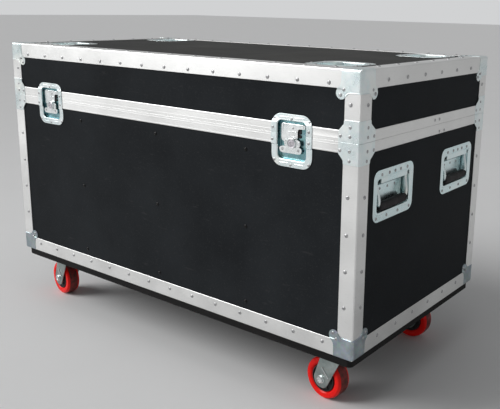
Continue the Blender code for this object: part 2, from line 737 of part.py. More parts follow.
def latches(lid):
    floor = -LATCH_CAVITY_DEPTH
    hook_low = floor + LATCH_PLATE_THICKNESS + FIT
    wing_low = hook_low + HOOK_THICKNESS + FIT
    half_width = LATCH_CAVITY_WIDTH / 2
    half_plate = half_width - LATCH_PLATE_SIDE_GAP
    half_hook = half_width - HOOK_SIDE_GAP
    plate_bottom = LATCH_PLATE_END_GAP - LATCH_CAVITY_BELOW
    hook_top = LATCH_CAVITY_ABOVE - HOOK_TRAVEL - HOOK_END_GAP + LATCH_BOSS_BELOW
    for label, u in (("left", -LATCH_X), ("right", LATCH_X)):
        boss_v = CLOSING_LINE - LATCH_BOSS_BELOW
        name = f"latch_dish_{label}"
        body = latch_dish(name, u, -1, LATCH_CAVITY_BELOW + LATCH_RIM_BELOW, LATCH_CAVITY_BELOW)
        half_bell = [
            (half_plate, plate_bottom),
            (half_plate, plate_bottom + LATCH_PLATE_FLANK),
            (LATCH_PLATE_NECK / 2, -LATCH_BOSS_BELOW),
            (LATCH_PLATE_NECK / 2, -HOOK_ROUND),
        ]
        bell = half_bell + [(-bell_u, bell_v) for bell_u, bell_v in reversed(half_bell)]
        sunk = DISH_WALL / 2
        plate_place = on_face("front", u, CLOSING_LINE, floor - sunk)
        join(body, sheet(f"{name}_plate", [bell], LATCH_PLATE_THICKNESS + sunk, plate_place))

        keeper_name = f"latch_keeper_dish_{label}"
        upper = latch_dish(keeper_name, u, 1, LATCH_CAVITY_ABOVE + LATCH_RIM_ABOVE, LATCH_CAVITY_ABOVE, lid)
        keeper_size = (KEEPER_WIDTH, KEEPER_HEIGHT, LATCH_PLATE_THICKNESS + sunk)
        keeper_v = CLOSING_LINE + LATCH_CAVITY_ABOVE / 2
        keeper_place = on_face("front", u, keeper_v, floor + (LATCH_PLATE_THICKNESS - sunk) / 2)
        join(upper, block(f"{keeper_name}_keeper", keeper_size, keeper_place, frame=lid))

        hook_frame = moving_frame(f"latch_hook_{label}_slide", on_face("front", u, boss_v, hook_low))
        half_outline = [
            (HOOK_FOOT_WIDTH / 2, -HOOK_FOOT_BELOW_BOSS),
            (HOOK_FOOT_WIDTH / 2, HOOK_FOOT_HEIGHT - HOOK_FOOT_BELOW_BOSS),
            (half_hook, HOOK_SHOULDER_ABOVE_BOSS),
            *arc(half_hook - HOOK_ROUND, hook_top - HOOK_ROUND, HOOK_ROUND, 0, 90, 2),
        ]
        hook_outline = half_outline + [(-hook_u, hook_v) for hook_u, hook_v in reversed(half_outline)]
        slot_radius = KEY_STEM_RADIUS + FIT
        slot = arc(0, 0, slot_radius, 0, 180, 4) + arc(0, -HOOK_TRAVEL, slot_radius, 180, 360, 4)
        hook_place = on_face("front", u, boss_v, hook_low)
        sheet(f"latch_hook_{label}", [hook_outline, slot], HOOK_THICKNESS, hook_place, STEEL, hook_frame)

        key_frame = moving_frame(f"latch_key_{label}_turn", on_face("front", u, boss_v, wing_low))
        key = rod(
            f"latch_key_{label}",
            KEY_RADIUS,
            KEY_HEIGHT,
            on_face("front", u, boss_v, wing_low + KEY_HEIGHT / 2),
            STEEL,
            key_frame,
        )
        wing = rounded_rectangle(2 * WING_LENGTH, WING_WIDTH, WING_WIDTH / 2 - 0.001)
        wing_place = on_face("front", u, boss_v, wing_low)
        join(key, sheet(f"latch_key_{label}_wings", [wing], WING_THICKNESS, wing_place, frame=key_frame))
        stem_low = floor + LATCH_PLATE_THICKNESS + FIT
        stem_high = wing_low + KEY_HEIGHT / 2
        stem_place = on_face("front", u, boss_v, (stem_low + stem_high) / 2)
        stem = rod(
            f"latch_key_{label}_stem", KEY_STEM_RADIUS, stem_high - stem_low, stem_place, frame=key_frame, sides=12
        )
        join(key, stem)


def handles():
    level = CLOSING_LINE - HANDLE_BELOW_LINE
    flange_width = HANDLE_CAVITY_WIDTH + 2 * HANDLE_RIM_SIDE
    flange_height = HANDLE_CAVITY_HEIGHT + 2 * HANDLE_RIM_END
    pivot_up = HANDLE_CAVITY_HEIGHT / 2 - BAIL_PIVOT_BELOW_TOP
    half = HANDLE_CAVITY_WIDTH / 2 - BAIL_SIDE_GAP - BAIL_RADIUS
    for face in ("left", "right"):
        for end in (-1, 1):
            u = end * HANDLE_Y
            near_front = end < 0 if face == "right" else end > 0
            label = f"{face}_{'front' if near_front else 'back'}"
            place = on_face(face, u, level, PANEL_OUT + FIT)
            name = f"handle_dish_{label}"
            tub_width = HANDLE_CAVITY_WIDTH + 2 * DISH_WALL
            tub_height = HANDLE_CAVITY_HEIGHT + 2 * DISH_WALL
            body = dish(
                name,
                rounded_rectangle(flange_width, flange_height, HANDLE_FLANGE_ROUND),
                rounded_rectangle(tub_width, tub_height, HANDLE_CAVITY_ROUND + DISH_WALL),
                rounded_rectangle(HANDLE_CAVITY_WIDTH, HANDLE_CAVITY_HEIGHT, HANDLE_CAVITY_ROUND),
                HANDLE_CAVITY_DEPTH,
                place,
                ZINC,
            )
            pivot = place @ Matrix.Translation((0, pivot_up, -BAIL_PIVOT_IN))
            along = Euler((0, math.radians(90), 0)).to_matrix().to_4x4()
            hole = rod(f"{name}_pivot_hole", BAIL_PIVOT_RADIUS + FIT, tub_width + 0.01, pivot @ along, sides=12)
            cut(body, hole)

            frame = moving_frame(f"handle_{label}_hinge", pivot)
            pivot_length = HANDLE_CAVITY_WIDTH + 2 * DISH_WALL - 2 * FIT
            bail = rod(
                f"handle_{label}", BAIL_PIVOT_RADIUS, pivot_length, pivot @ along, GRIP_RUBBER, frame, sides=12
            )
            foot = GRIP_ABOVE_BOTTOM - HANDLE_CAVITY_HEIGHT / 2 - pivot_up
            route = [(-half, 0, 0), (-half, foot + BAIL_BEND, 0), (BAIL_BEND - half, foot, 0)]
            route += [(-x, y, z) for x, y, z in reversed(route)]
            depth_in = GRIP_DEPTH / 2 - BAIL_PIVOT_IN
            grip_length = 2 * (half - BAIL_RADIUS + GRIP_ARM_OVERLAP)
            arms = bent_rod(f"handle_{label}_arms", route, BAIL_RADIUS, pivot, frame=frame)
            grip = block(
                f"handle_{label}_grip",
                (grip_length, GRIP_HEIGHT, GRIP_DEPTH),
                pivot @ Matrix.Translation((0, foot, -depth_in)),
                frame=frame,
            )
            bevel = grip.modifiers.new("round", "BEVEL")
            bevel.width = GRIP_ROUND
            bevel.segments = 2
            join(bail, arms, grip)


def castor_cups(lid):
    for end_x in (-1, 1):
        for end_y in (-1, 1):
            label = "{}_{}".format("front" if end_y < 0 else "back", "left" if end_x < 0 else "right")
            place = on_face("top", end_x * CUP_X, end_y * CUP_Y, PANEL_OUT + FIT)
            tub = CUP_CAVITY + 2 * DISH_WALL
            flange = CUP_CAVITY + 2 * CUP_RIM
            dish(
                f"castor_cup_{label}",
                rounded_rectangle(flange, flange, CUP_FLANGE_ROUND),
                rounded_rectangle(tub, tub, CUP_CAVITY_ROUND + DISH_WALL),
                rounded_rectangle(CUP_CAVITY, CUP_CAVITY, CUP_CAVITY_ROUND),
                CUP_DEPTH,
                place,
                ZINC,
                lid,
            )


# Castors


def wheel_profile():
    """Radius and height points round the section of a wheel, down its outer side first."""
    half = WHEEL_WIDTH / 2
    tread = WHEEL_TREAD_WIDTH / 2
    web = half - WHEEL_WEB_INSET
    hub = FORK_GAP / 2 - HUB_CLEARANCE
    bore = AXLE_RADIUS + FIT
    shoulder = WHEEL_RADIUS - WHEEL_SHOULDER
    upper = [
        (bore, hub),
        (HUB_RADIUS, hub),
        (HUB_RADIUS, web),
        (WHEEL_RIM_RADIUS, web),
        (WHEEL_RIM_RADIUS + WHEEL_WEB_INSET, half),
        (shoulder, half),
        (WHEEL_RADIUS, tread),
    ]
    return upper + [(radius, -height) for radius, height in reversed(upper)]


def castors():
    crown_top = CASTOR_HEIGHT - MOUNT_PLATE_THICKNESS - RACE_HEIGHT - FIT
    fork_width = FORK_GAP + 2 * FORK_WALL
    for label, heading in CASTOR_HEADINGS.items():
        end_x = -1 if label.endswith("left") else 1
        end_y = -1 if label.startswith("front") else 1
        x = end_x * (CASE_WIDTH / 2 - CASTOR_FROM_SIDE)
        y = end_y * (CASE_DEPTH / 2 - CASTOR_FROM_FRONT)

        plate_outline = rounded_rectangle(MOUNT_PLATE_LENGTH, MOUNT_PLATE_WIDTH, 0.008, steps=2)
        plate_place = at(x, y, CASTOR_HEIGHT - MOUNT_PLATE_THICKNESS)
        plate = sheet(f"castor_plate_{label}", [plate_outline], MOUNT_PLATE_THICKNESS, plate_place, ZINC)
        race_height = RACE_HEIGHT + MOUNT_PLATE_THICKNESS / 2
        race_place = at(x, y, CASTOR_HEIGHT - MOUNT_PLATE_THICKNESS / 2 - race_height / 2)
        join(plate, rod(f"race_{label}", RACE_RADIUS, race_height, race_place))
        bore_place = at(x, y, CASTOR_HEIGHT)
        cut(plate, rod(f"race_bore_{label}", KINGPIN_RADIUS + FIT, 0.05, bore_place, sides=16))

        swivel_place = at(x, y, 0, (0, 0, heading))
        swivel = moving_frame(f"castor_{label}_swivel", swivel_place)
        crown_middle = (FORK_CROWN_FRONT - FORK_CROWN_BACK) / 2
        crown_length = FORK_CROWN_FRONT + FORK_CROWN_BACK - 2 * CROWN_INSET
        fork = block(
            f"castor_fork_{label}",
            (crown_length, FORK_GAP + FORK_WALL, FORK_WALL),
            swivel_place @ Matrix.Translation((crown_middle, 0, crown_top - CROWN_INSET - FORK_WALL / 2)),
            ZINC,
            swivel,
        )
        kingpin_high = CASTOR_HEIGHT - MOUNT_PLATE_THICKNESS
        kingpin_low = crown_top - FORK_WALL / 2
        kingpin_place = swivel_place @ Matrix.Translation((0, 0, (kingpin_high + kingpin_low) / 2))
        join(fork, rod(f"kingpin_{label}", KINGPIN_RADIUS, kingpin_high - kingpin_low, kingpin_place, frame=swivel))
        leg_outline = [
            (FORK_CROWN_FRONT, crown_top),
            (-FORK_CROWN_BACK, crown_top),
            *arc(TRAIL, WHEEL_RADIUS, FORK_FOOT_RADIUS, 205, 375, 5),
        ]
        upright = Euler((math.radians(90), 0, 0)).to_matrix().to_4x4()
        for end, low in (("near", -fork_width / 2), ("far", FORK_GAP / 2)):
            leg_place = swivel_place @ Matrix.Translation((0, low + FORK_WALL, 0)) @ upright
            join(fork, sheet(f"leg_{label}_{end}", [leg_outline], FORK_WALL, leg_place, frame=swivel))
        axle_place = swivel_place @ Matrix.Translation((TRAIL, 0, WHEEL_RADIUS)) @ upright
        axle_length = fork_width + AXLE_HEAD_HEIGHT
        join(fork, rod(f"axle_{label}", AXLE_RADIUS, axle_length, axle_place, frame=swivel, sides=12))
        for end in (-1, 1):
            sunk = FORK_WALL / 2
            middle = fork_width / 2 + (AXLE_HEAD_HEIGHT - sunk) / 2
            head_place = axle_place @ Matrix.Translation((0, 0, end * middle))
            head = rod(
                f"axle_head_{label}_{end}", AXLE_HEAD_RADIUS, AXLE_HEAD_HEIGHT + sunk, head_place, frame=swivel, sides=6
            )
            join(fork, head)

        roll = moving_frame(f"castor_{label}_roll", axle_place, swivel)
        turned(f"castor_wheel_{label}", wheel_profile(), WHEEL_SIDES, axle_place, RED, roll)


def castor_board():
    width = CASE_WIDTH - 2 * BOARD_INSET
    depth = CASE_DEPTH - 2 * BOARD_INSET
    outline = rounded_rectangle(width, depth, BOARD_ROUND)
    sheet("castor_board", [outline], BOARD_THICKNESS, at(z=BOARD_LOW), BOARD_PAINT)


# Hinge and stays


def hinge(lid):
    """A long hinge outside the back: two leaves with knuckles in turn, and the pin in the body's."""
    pitch = HINGE_LENGTH / HINGE_KNUCKLES
    leaves = {}
    for side, name, frame in ((-1, "hinge_body_leaf", None), (1, "hinge_lid_leaf", lid)):
        height = HINGE_LEAF_HEIGHT - HINGE_TAB
        v = CLOSING_LINE + side * (HINGE_TAB + height / 2)
        size = (HINGE_LENGTH, height, HINGE_LEAF_THICKNESS)
        place = on_face("back", 0, v, SKIN_LOW + HINGE_LEAF_THICKNESS / 2)
        leaves[side] = block(name, size, place, STEEL, frame)
    for index in range(HINGE_KNUCKLES):
        side = -1 if index % 2 == 0 else 1
        frame = lid if side > 0 else None
        leaf = leaves[side]
        u = (index - (HINGE_KNUCKLES - 1) / 2) * pitch
        length = pitch - 2 * FIT
        along = Euler((0, math.radians(90), 0)).to_matrix().to_4x4()
        knuckle_place = on_face("back", u, CLOSING_LINE, HINGE_OUT) @ along
        knuckle = rod(f"knuckle_{index}", HINGE_KNUCKLE_RADIUS, length, knuckle_place, frame=frame, sides=12)
        tab_near = HINGE_KNUCKLE_RADIUS * 0.4
        tab_far = HINGE_TAB + FIT
        tab_size = (length - 2 * FIT, tab_far - tab_near, HINGE_LEAF_THICKNESS)
        tab_v = CLOSING_LINE + side * (tab_near + tab_far) / 2
        tab_place = on_face("back", u, tab_v, SKIN_LOW + HINGE_LEAF_THICKNESS / 2)
        join(leaf, block(f"knuckle_{index}_tab", tab_size, tab_place, frame=frame), knuckle)
        if side > 0:
            bore = rod(
                f"knuckle_{index}_bore", HINGE_PIN_RADIUS + FIT, pitch, knuckle_place, frame=frame, sides=12
            )
            cut(leaf, bore)
    pin_place = on_face("back", 0, CLOSING_LINE, HINGE_OUT) @ along
    pin_length = HINGE_LENGTH - pitch
    join(leaves[-1], rod("hinge_pin", HINGE_PIN_RADIUS, pin_length, pin_place, sides=12))


def stay_rest_angle():
    """Degrees above the forward direction at which the lower arm lies when the lid is shut."""
    return math.degrees(math.asin(STAY_PIVOT_OFF_LINE / STAY_ARM))


def stays():
    """Two folding arms inside each end. The lower turns on the body's stud and carries the upper."""
    y = HINGE_Y - STAY_FROM_HINGE
    low = CLOSING_LINE - STAY_PIVOT_OFF_LINE
    eye = STAY_WIDTH / 2
    rise = math.radians(stay_rest_angle())
    elbow_y = y - STAY_ARM * math.cos(rise)
    for end, label in ((-1, "left"), (1, "right")):
        wall = end * (CASE_WIDTH / 2 + CLOSING_IN)
        turn = (90, 0, 90) if end > 0 else (90, 0, -90)
        lower_x = wall - end * (FIT + STAY_THICKNESS / 2)
        upper_x = lower_x - end * (STAY_THICKNESS + FIT)
        lower_axis = at(lower_x, y, low, turn)
        elbow_axis = at(upper_x, elbow_y, CLOSING_LINE, turn)
        # Along a forward arm u runs to the front, which is -u on the right face and +u on the left
        forward = -end
        lower_frame = moving_frame(f"stay_{label}_lower_turn", lower_axis)
        upper_frame = moving_frame(f"stay_{label}_elbow_turn", elbow_axis, lower_frame)

        def arm(name, start, angle, frame):
            along = Matrix.Rotation(angle, 4, "Z")
            outline = arc(0, 0, eye, 90, 270, 4) + arc(STAY_ARM, 0, eye, -90, 90, 4)
            bore = arc(0, 0, STAY_STUD_RADIUS + FIT, 0, 330, 11)
            place = start @ along @ Matrix.Translation((0, 0, -STAY_THICKNESS / 2))
            return sheet(name, [outline, bore], STAY_THICKNESS, place, STEEL, frame)

        start_angle = rise if forward > 0 else math.pi - rise
        lower = arm(f"stay_{label}_lower_arm", lower_axis, start_angle, lower_frame)
        stud_length = STAY_THICKNESS * 1.5 + FIT
        stud_x = (lower_x + upper_x) / 2
        stud = rod(
            f"stay_{label}_elbow_stud",
            STAY_STUD_RADIUS,
            stud_length,
            at(stud_x, elbow_y, CLOSING_LINE, (0, 90, 0)),
            frame=lower_frame,
            sides=12,
        )
        join(lower, stud)
        back_angle = rise if forward < 0 else math.pi - rise
        arm(f"stay_{label}_upper_arm", elbow_axis, back_angle, upper_frame)


clear_scene()
PARTS = new_collection("flight_case")
TOOLS = new_collection("cutters")


def main():
    lid = moving_frame("lid_hinge", at(0, HINGE_Y, CLOSING_LINE))
    body_panels()
    lid_panels(lid)
    frames(lid)
    corners(lid)
    latches(lid)
    handles()
    castor_cups(lid)
    castor_board()
    castors()
    hinge(lid)
    stays()
    case = bpy.data.objects.new("case", None)
    PARTS.objects.link(case)
    for obj in list(PARTS.objects) + list(TOOLS.objects):
        if obj.parent is None and obj is not case:
            obj.parent = case
    case.location = (0, CASE_Y, 0)
    bpy.context.view_layer.update()


main()
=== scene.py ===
"""The looks of the road trunk: pressed and riveted hardware round black laminate, on red castors.

Metres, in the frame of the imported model: +Z up, the latches look towards -Y. Each face has its own
directions: u runs to the right of someone who looks at it, v up, and w out of it.
"""

import json
import math

import bmesh
import bpy
from mathutils import Euler, Matrix, Vector


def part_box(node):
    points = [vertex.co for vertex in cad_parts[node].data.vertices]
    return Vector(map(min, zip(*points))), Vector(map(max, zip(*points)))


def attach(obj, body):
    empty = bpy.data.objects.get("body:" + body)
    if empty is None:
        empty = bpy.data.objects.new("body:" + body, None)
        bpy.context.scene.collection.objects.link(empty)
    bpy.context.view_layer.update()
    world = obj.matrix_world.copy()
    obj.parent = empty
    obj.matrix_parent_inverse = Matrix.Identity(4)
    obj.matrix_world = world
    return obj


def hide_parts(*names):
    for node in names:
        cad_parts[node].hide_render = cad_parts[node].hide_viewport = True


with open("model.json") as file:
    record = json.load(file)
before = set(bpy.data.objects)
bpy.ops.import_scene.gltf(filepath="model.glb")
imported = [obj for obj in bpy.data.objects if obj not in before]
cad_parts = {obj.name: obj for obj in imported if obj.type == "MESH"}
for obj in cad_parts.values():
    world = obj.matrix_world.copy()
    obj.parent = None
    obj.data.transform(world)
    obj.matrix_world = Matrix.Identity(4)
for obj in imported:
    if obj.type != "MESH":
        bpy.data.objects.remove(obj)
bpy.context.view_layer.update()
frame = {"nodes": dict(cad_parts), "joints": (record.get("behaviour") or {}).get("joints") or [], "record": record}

# Places, from the frame
JOINTS = {joint["name"]: Vector(joint["pos_m"]) for joint in frame["joints"] if "pos_m" in joint}
EDGE_LOW, EDGE_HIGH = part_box("body_edge_frame")
WIDTH = EDGE_HIGH.x - EDGE_LOW.x
DEPTH = EDGE_HIGH.y - EDGE_LOW.y
CASE_Y = (EDGE_HIGH.y + EDGE_LOW.y) / 2
CASE_LOW = EDGE_LOW.z
CASE_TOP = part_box("lid_frame")[1].z
LINE = JOINTS["lid_hinge"].z

# Space between the body's and the lid's pieces at the closing line
GAP = 0.0003

# Aluminium edging: a right angle over the edges, and a profile round the opening
EDGING = 0.038
EDGING_WALL = 0.002
EDGE_ROUND = 0.003
CLOSING = 0.0225
PANEL_OUT = -0.0023
PANEL_IN = -0.0113
CLOSING_IN = -0.0131
GROOVE_MIDDLE = -0.0068
WEB = 0.0045
RIDGE = 0.0002

# Pressed zinc-plated corners and braces
SHEET = 0.0015
OUTSIDE = 0.0010
CORNER_EDGE = 0.0465 + OUTSIDE
CORNER_NECK = 0.012
CORNER_ROUND = 0.0055
STEP_DOWN = (EDGING + OUTSIDE + 0.0008, EDGING + OUTSIDE + 0.0024)
LOBE = 0.0468 + OUTSIDE
LOBE_RADIUS = 0.0125
LOBE_SWEEP = 206
LOBE_DROP = 0.0017
BRACE_PAST_FRONT = 0.012
BRACE_PAST_SIDE = 0.017
BRACE_SHOULDER = 0.0235
BRACE_NECK = 0.036
BRACE_HEIGHT = 0.044

# Dishes: outlines as (low u, high u, low v, high v, corner radius)
DISH_SHEET = 0.0012
LATCH_FLANGE = (-0.0525, 0.0525, -0.0695, 0.0415, 0.025)
LATCH_CAVITY = (-0.0365, 0.0365, -0.0535, 0.0275, 0.010)
LATCH_TOP = 0.0016
LATCH_FLOOR = -0.0095
HANDLE_FLANGE = (-0.083, 0.083, -0.055, 0.055, 0.019)
HANDLE_CAVITY = (-0.0675, 0.0675, -0.035, 0.035, 0.007)
HANDLE_COVER = (-0.0664, 0.0602, -0.0335, 0.0178, 0.003)
HANDLE_BROW = (-0.0545, 0.0545, 0.0264, 0.0388, 0.002)
HANDLE_TOP = -0.0008
HANDLE_FLOOR = -0.024
HANDLE_PLATE = 0.0060
HANDLE_BELOW_LINE = 0.1195
CUP_FLANGE = (-0.062, 0.062, -0.062, 0.062, 0.030)
CUP_CAVITY = (-0.048, 0.048, -0.048, 0.048, 0.026)
CUP_FLOOR = -0.018
CUP_X = 0.455
CUP_Y = 0.190

# Latch hardware: heights of its layers above the edging's face
LATCH_U = {side: JOINTS[f"latch_key_{side}_turn"].x for side in ("left", "right")}
BOSS_V = JOINTS["latch_key_left_turn"].z - LINE
JOGGLE = 0.0021
JOGGLE_FROM = 0.0237
JOGGLE_TO = {-1: 0.0257, 1: 0.0300}
HOOK_LOW = -0.0076
HOOK_SHEET = 0.002
BELL_LOW = -0.0052
BELL_SHEET = 0.0014
BELL_HEAD = 0.0135
BELL_FEET = (-0.026, 0.015)
BELL_FOOT_V = -0.0325
BELL_FOOT = 0.0085
WING_LOW = -0.0034
STEM = 0.004

# Side handles
BAIL_U = 0.061
BAIL_V = 0.028
BAIL_W = -0.009
BAIL_RADIUS = 0.0035
COIL = 0.0030
COIL_TURNS = 9
COIL_STEPS = 10
GRIP_V = -0.0238
GRIP_HALF = 0.0555
GRIP_W = -0.0063
GRIP_SECTION = (-0.008, 0.008, -0.0088, 0.0088, 0.0055)

# Castors and their board
CASTORS = ("front_left", "front_right", "back_left", "back_right")
CASTOR_TOP = JOINTS["castor_front_left_swivel"].z + 0.012
CASTOR_PLATE = (-0.050, 0.050, -0.0425, 0.0425, 0.008)
CASTOR_SHEET = 0.003
CASTOR_BOLTS = (0.0385, 0.031)
FORK_TOP = 0.1274
FORK_HALF = 0.025
FORK_WALL = 0.003
FORK_BEND = 0.007
FORK_BACK = -0.026
FORK_FRONT = 0.032
FOOT_RADIUS = 0.021
TRAIL = 0.036
WHEEL_RADIUS = 0.050
WHEEL_HALF = 0.019
WHEEL_SIDES = 64
TREAD_HALF = 0.012
SHOULDER = 0.0445
RIM_RADIUS = 0.032
HUB_HALF = 0.0217
BOARD_INSET = 0.006

# Rear hinge
HINGE_LENGTH = 0.960
KNUCKLES = 7
KNUCKLE_RADIUS = 0.0045
LEAF_NEAR = 0.0052
LEAF_FAR = 0.020
LEAF_LOW = 0.0008

# Lid stays and divider tracks
STAY_ARM = 0.206
STAY_HALF = 0.007
STAY_THICKNESS = 0.002
TRACKS = (-0.2845, 0.0, 0.2845)
TRACK_SCREWS = (0.056, 0.234, 0.408)
TRACK_HALF = 0.010
TRACK_DEPTH = 0.010
TRACK_WALL = 0.0015
TRACK_LIP = 0.0025

# Rivet heads, as (radius, height)
RIVET = (0.0043, 0.0017)
SMALL_RIVET = (0.0036, 0.0014)

# The edging's rivets: how far in from its edge, rows as (count, reach), levels above the bottom
RIVET_IN = 0.0242
RIVET_DROP = 0.0290
ROW_X = (14, 0.4995)
ROW_Y = (6, 0.1965)
POST_RIVETS = (0.113, 0.191, 0.268, 0.346)
LID_POST_RIVET = 0.529

FACES = {
    "front": ((90, 0, 0), (0, -DEPTH / 2, 0)),
    "right": ((90, 0, 90), (WIDTH / 2, 0, 0)),
    "back": ((90, 0, 180), (0, DEPTH / 2, 0)),
    "left": ((90, 0, -90), (-WIDTH / 2, 0, 0)),
    "top": ((0, 0, 0), (0, 0, CASE_TOP)),
    "bottom": ((180, 0, 0), (0, 0, CASE_LOW)),
}

# Corners of the case in plan, as the ends of x and y that they are at
CORNERS = {"front_left": (-1, -1), "back_left": (-1, 1), "front_right": (1, -1), "back_right": (1, 1)}


def mm(*points):
    """Points given in millimetres."""
    return [tuple(value / 1000 for value in point) for point in points]


def shift(u, v, w=0.0):
    return Matrix.Translation((u, v, w))


def turned_by(x, y, z):
    return Euler([math.radians(angle) for angle in (x, y, z)]).to_matrix().to_4x4()


def on_face(face, u=0.0, v=0.0, w=0.0):
    turn, (x, y, z) = FACES[face]
    return shift(x, y + CASE_Y, z) @ turned_by(*turn) @ shift(u, v, w)


def placed(name, data):
    made = bpy.data.objects.new(name, data)
    bpy.context.scene.collection.objects.link(made)
    return made


# Materials


class Paint:
    """A Principled material whose colour, roughness and bump come from nodes."""

    def __init__(self, name, metallic, settings):
        self.material = bpy.data.materials.new(name)
        self.material.use_nodes = True
        self.tree = self.material.node_tree
        self.shader = self.tree.nodes["Principled BSDF"]
        self.shader.inputs["Metallic"].default_value = metallic
        for socket, value in settings.items():
            self.shader.inputs[socket.replace("_", " ")].default_value = value
        self.place = self.tree.nodes.new("ShaderNodeTexCoord").outputs["Object"]

    def node(self, kind, inputs, **settings):
        made = self.tree.nodes.new(kind)
        for name, value in settings.items():
            setattr(made, name, value)
        for socket, value in inputs.items():
            if isinstance(value, bpy.types.NodeSocket):
                self.tree.links.new(value, made.inputs[socket])
            else:
                made.inputs[socket].default_value = value
        return made

    def noise(self, scale, detail, stretch=(1, 1, 1)):
        place = self.node("ShaderNodeMapping", {"Vector": self.place, "Scale": stretch}).outputs[0]
        inputs = {"Vector": place, "Scale": scale, "Detail": detail, "Roughness": 0.55}
        return self.node("ShaderNodeTexNoise", inputs).outputs[0]

    def between(self, value, low, high, start=0.0, end=1.0):
        inputs = {"Value": value, "From Min": low, "From Max": high, "To Min": start, "To Max": end}
        return self.node("ShaderNodeMapRange", inputs, clamp=True).outputs[0]

    def mix(self, factor, first, second, blend="MIX"):
        inputs = {0: factor, 6: first, 7: second}
        return self.node("ShaderNodeMix", inputs, data_type="RGBA", blend_type=blend).outputs[2]

    def link(self, value, socket):
        self.tree.links.new(value, self.shader.inputs[socket])


def mottled(
    name, metallic, clouds, dark, light, rough, bump,
    blend=(0.35, 0.65), rub=(0.3, 0.7), marks=(), crystals=None, **settings,
):
    """A paint of two colours and two roughnesses that follow a cloudy noise.

    A noise is (scale, detail, stretch). The colours mix over the blend range of the clouds, and the
    roughness over the rub range. Marks are (noise, (low, high, least, most), colour), crystals (share,
    scale), and bump (noise, distance, strength), where no noise means the clouds.
    """
    paint = Paint(name, metallic, settings)
    cloud = paint.noise(*clouds)
    colour = paint.mix(paint.between(cloud, *blend), (*dark, 1), (*light, 1))
    for noise, reach, tone in marks:
        colour = paint.mix(paint.between(paint.noise(*noise), *reach), colour, (*tone, 1))
    if crystals:
        cells = paint.node("ShaderNodeTexVoronoi", {"Vector": paint.place, "Scale": crystals[1]})
        colour = paint.mix(crystals[0], colour, cells.outputs["Color"], "OVERLAY")
    paint.link(colour, "Base Color")
    paint.link(paint.between(cloud, *rub, *rough), "Roughness")
    if bump:
        noise, distance, strength = bump
        height = paint.noise(*noise) if noise else cloud
        inputs = {"Height": height, "Distance": distance, "Strength": strength}
        paint.link(paint.node("ShaderNodeBump", inputs).outputs[0], "Normal")
    return paint.material


def zinc_paint(name, dark, light, patches, rough):
    """Zinc plate with a cast, cloudy crystals and patches of another tone."""
    return mottled(
        name, 1.0, (28, 3), dark, light, (rough, rough + 0.14), ((450, 2), 0.00006, 0.5),
        marks=[((14, 2), (0.55, 0.75, 0, 0.5), patches)], crystals=(0.07, 170),
    )


def laminate_paint(name, dusty):
    """Black laminate with a fine pebbled skin, specks and a film of dust, and a few rubbed marks."""
    return mottled(
        name, 0.0, (5, 4), (0.015, 0.017, 0.019), (0.023, 0.026, 0.029), (0.46, 0.58),
        ((900, 2), 0.00022, 0.7), blend=(0.35, 0.7),
        marks=[
            ((420, 3), (0.60, 0.74, 0, 0.4 + dusty), (0.075, 0.073, 0.068)),
            ((3, 4), (0.3, 0.7, dusty * 0.6, dusty), (0.085, 0.080, 0.070)),
            ((24, 4, (1, 5, 5)), (0.66, 0.74, 0, 0.35), (0.05, 0.05, 0.05)),
        ],
        Specular_IOR_Level=0.03,
    )


# Mill-finish extrusion: pale, with dull patches and fine scratches
ALUMINIUM = mottled(
    "aluminium", 1.0, (9, 4), (0.80, 0.80, 0.79), (0.88, 0.88, 0.87), (0.34, 0.50), ((700, 2), 0.00006, 0.6),
    blend=(0.35, 0.7), marks=[((60, 2, (1, 1, 14)), (0.60, 0.70, 0, 0.25), (0.62, 0.62, 0.61))],
)
ZINC = zinc_paint("zinc", (0.74, 0.84, 0.85), (0.88, 0.93, 0.93), (0.88, 0.88, 0.80), 0.24)
BLUE_ZINC = zinc_paint("blue_zinc", (0.76, 0.93, 0.95), (0.88, 0.99, 1.00), (0.86, 0.92, 0.86), 0.24)
# A darker copy of the zinc for the bottom corners: painted shade, for the dark floor that they reflect
LOW_SHADE_ZINC = zinc_paint("low_shade_zinc", (0.30, 0.36, 0.39), (0.47, 0.53, 0.56), (0.40, 0.41, 0.39), 0.28)
# Bright plate on the small moving parts, with fine rubbing marks
STEEL = mottled(
    "steel", 1.0, (60, 3), (0.80, 0.84, 0.84), (0.90, 0.92, 0.92), (0.24, 0.34),
    ((160, 2, (1, 9, 1)), 0.00002, 0.4),
    marks=[((160, 2, (1, 9, 1)), (0.6, 0.8, 0, 0.25), (0.66, 0.68, 0.70))],
)
LAMINATE = laminate_paint("black_laminate", 0.0)
DUSTY_LAMINATE = laminate_paint("dusty_laminate", 0.40)
# Zinc plate darkened to a blue-green teal as painted shade, for the walls and floors deep in the dishes
RECESS_SHADE_ZINC = mottled(
    "recess_shade_zinc", 1.0, (45, 3), (0.16, 0.33, 0.36), (0.30, 0.48, 0.50), (0.22, 0.34), ((450, 2), 0.00005, 0.5),
    crystals=(0.06, 200),
)
# Grey-green zinc on the castors and the handle springs, darkened as painted shade, with dusty patches
SHADED_DULL_ZINC = mottled(
    "shaded_dull_zinc", 1.0, (35, 4), (0.26, 0.31, 0.30), (0.42, 0.47, 0.46), (0.30, 0.44), ((380, 2), 0.00008, 0.5),
    marks=[((90, 3), (0.55, 0.75, 0, 0.5), (0.40, 0.37, 0.34))],
)
# Black paint rolled on plywood, with the grain showing through
BOARD = mottled(
    "board_paint", 0.0, (120, 4, (0.06, 1, 1)), (0.006, 0.006, 0.006), (0.013, 0.012, 0.012), (0.55, 0.75),
    (None, 0.0004, 0.6), blend=(0.4, 0.65), Specular_IOR_Level=0.15,
)
# Moulded rubber with a fine spark-eroded texture and worn, paler high spots
GRIP = mottled(
    "grip_rubber", 0.0, (45, 3), (0.016, 0.015, 0.016), (0.026, 0.024, 0.0245), (0.62, 0.48),
    ((1100, 2), 0.0002, 0.6), blend=(0.5, 0.75), rub=(0.5, 0.75), Specular_IOR_Level=0.25,
)
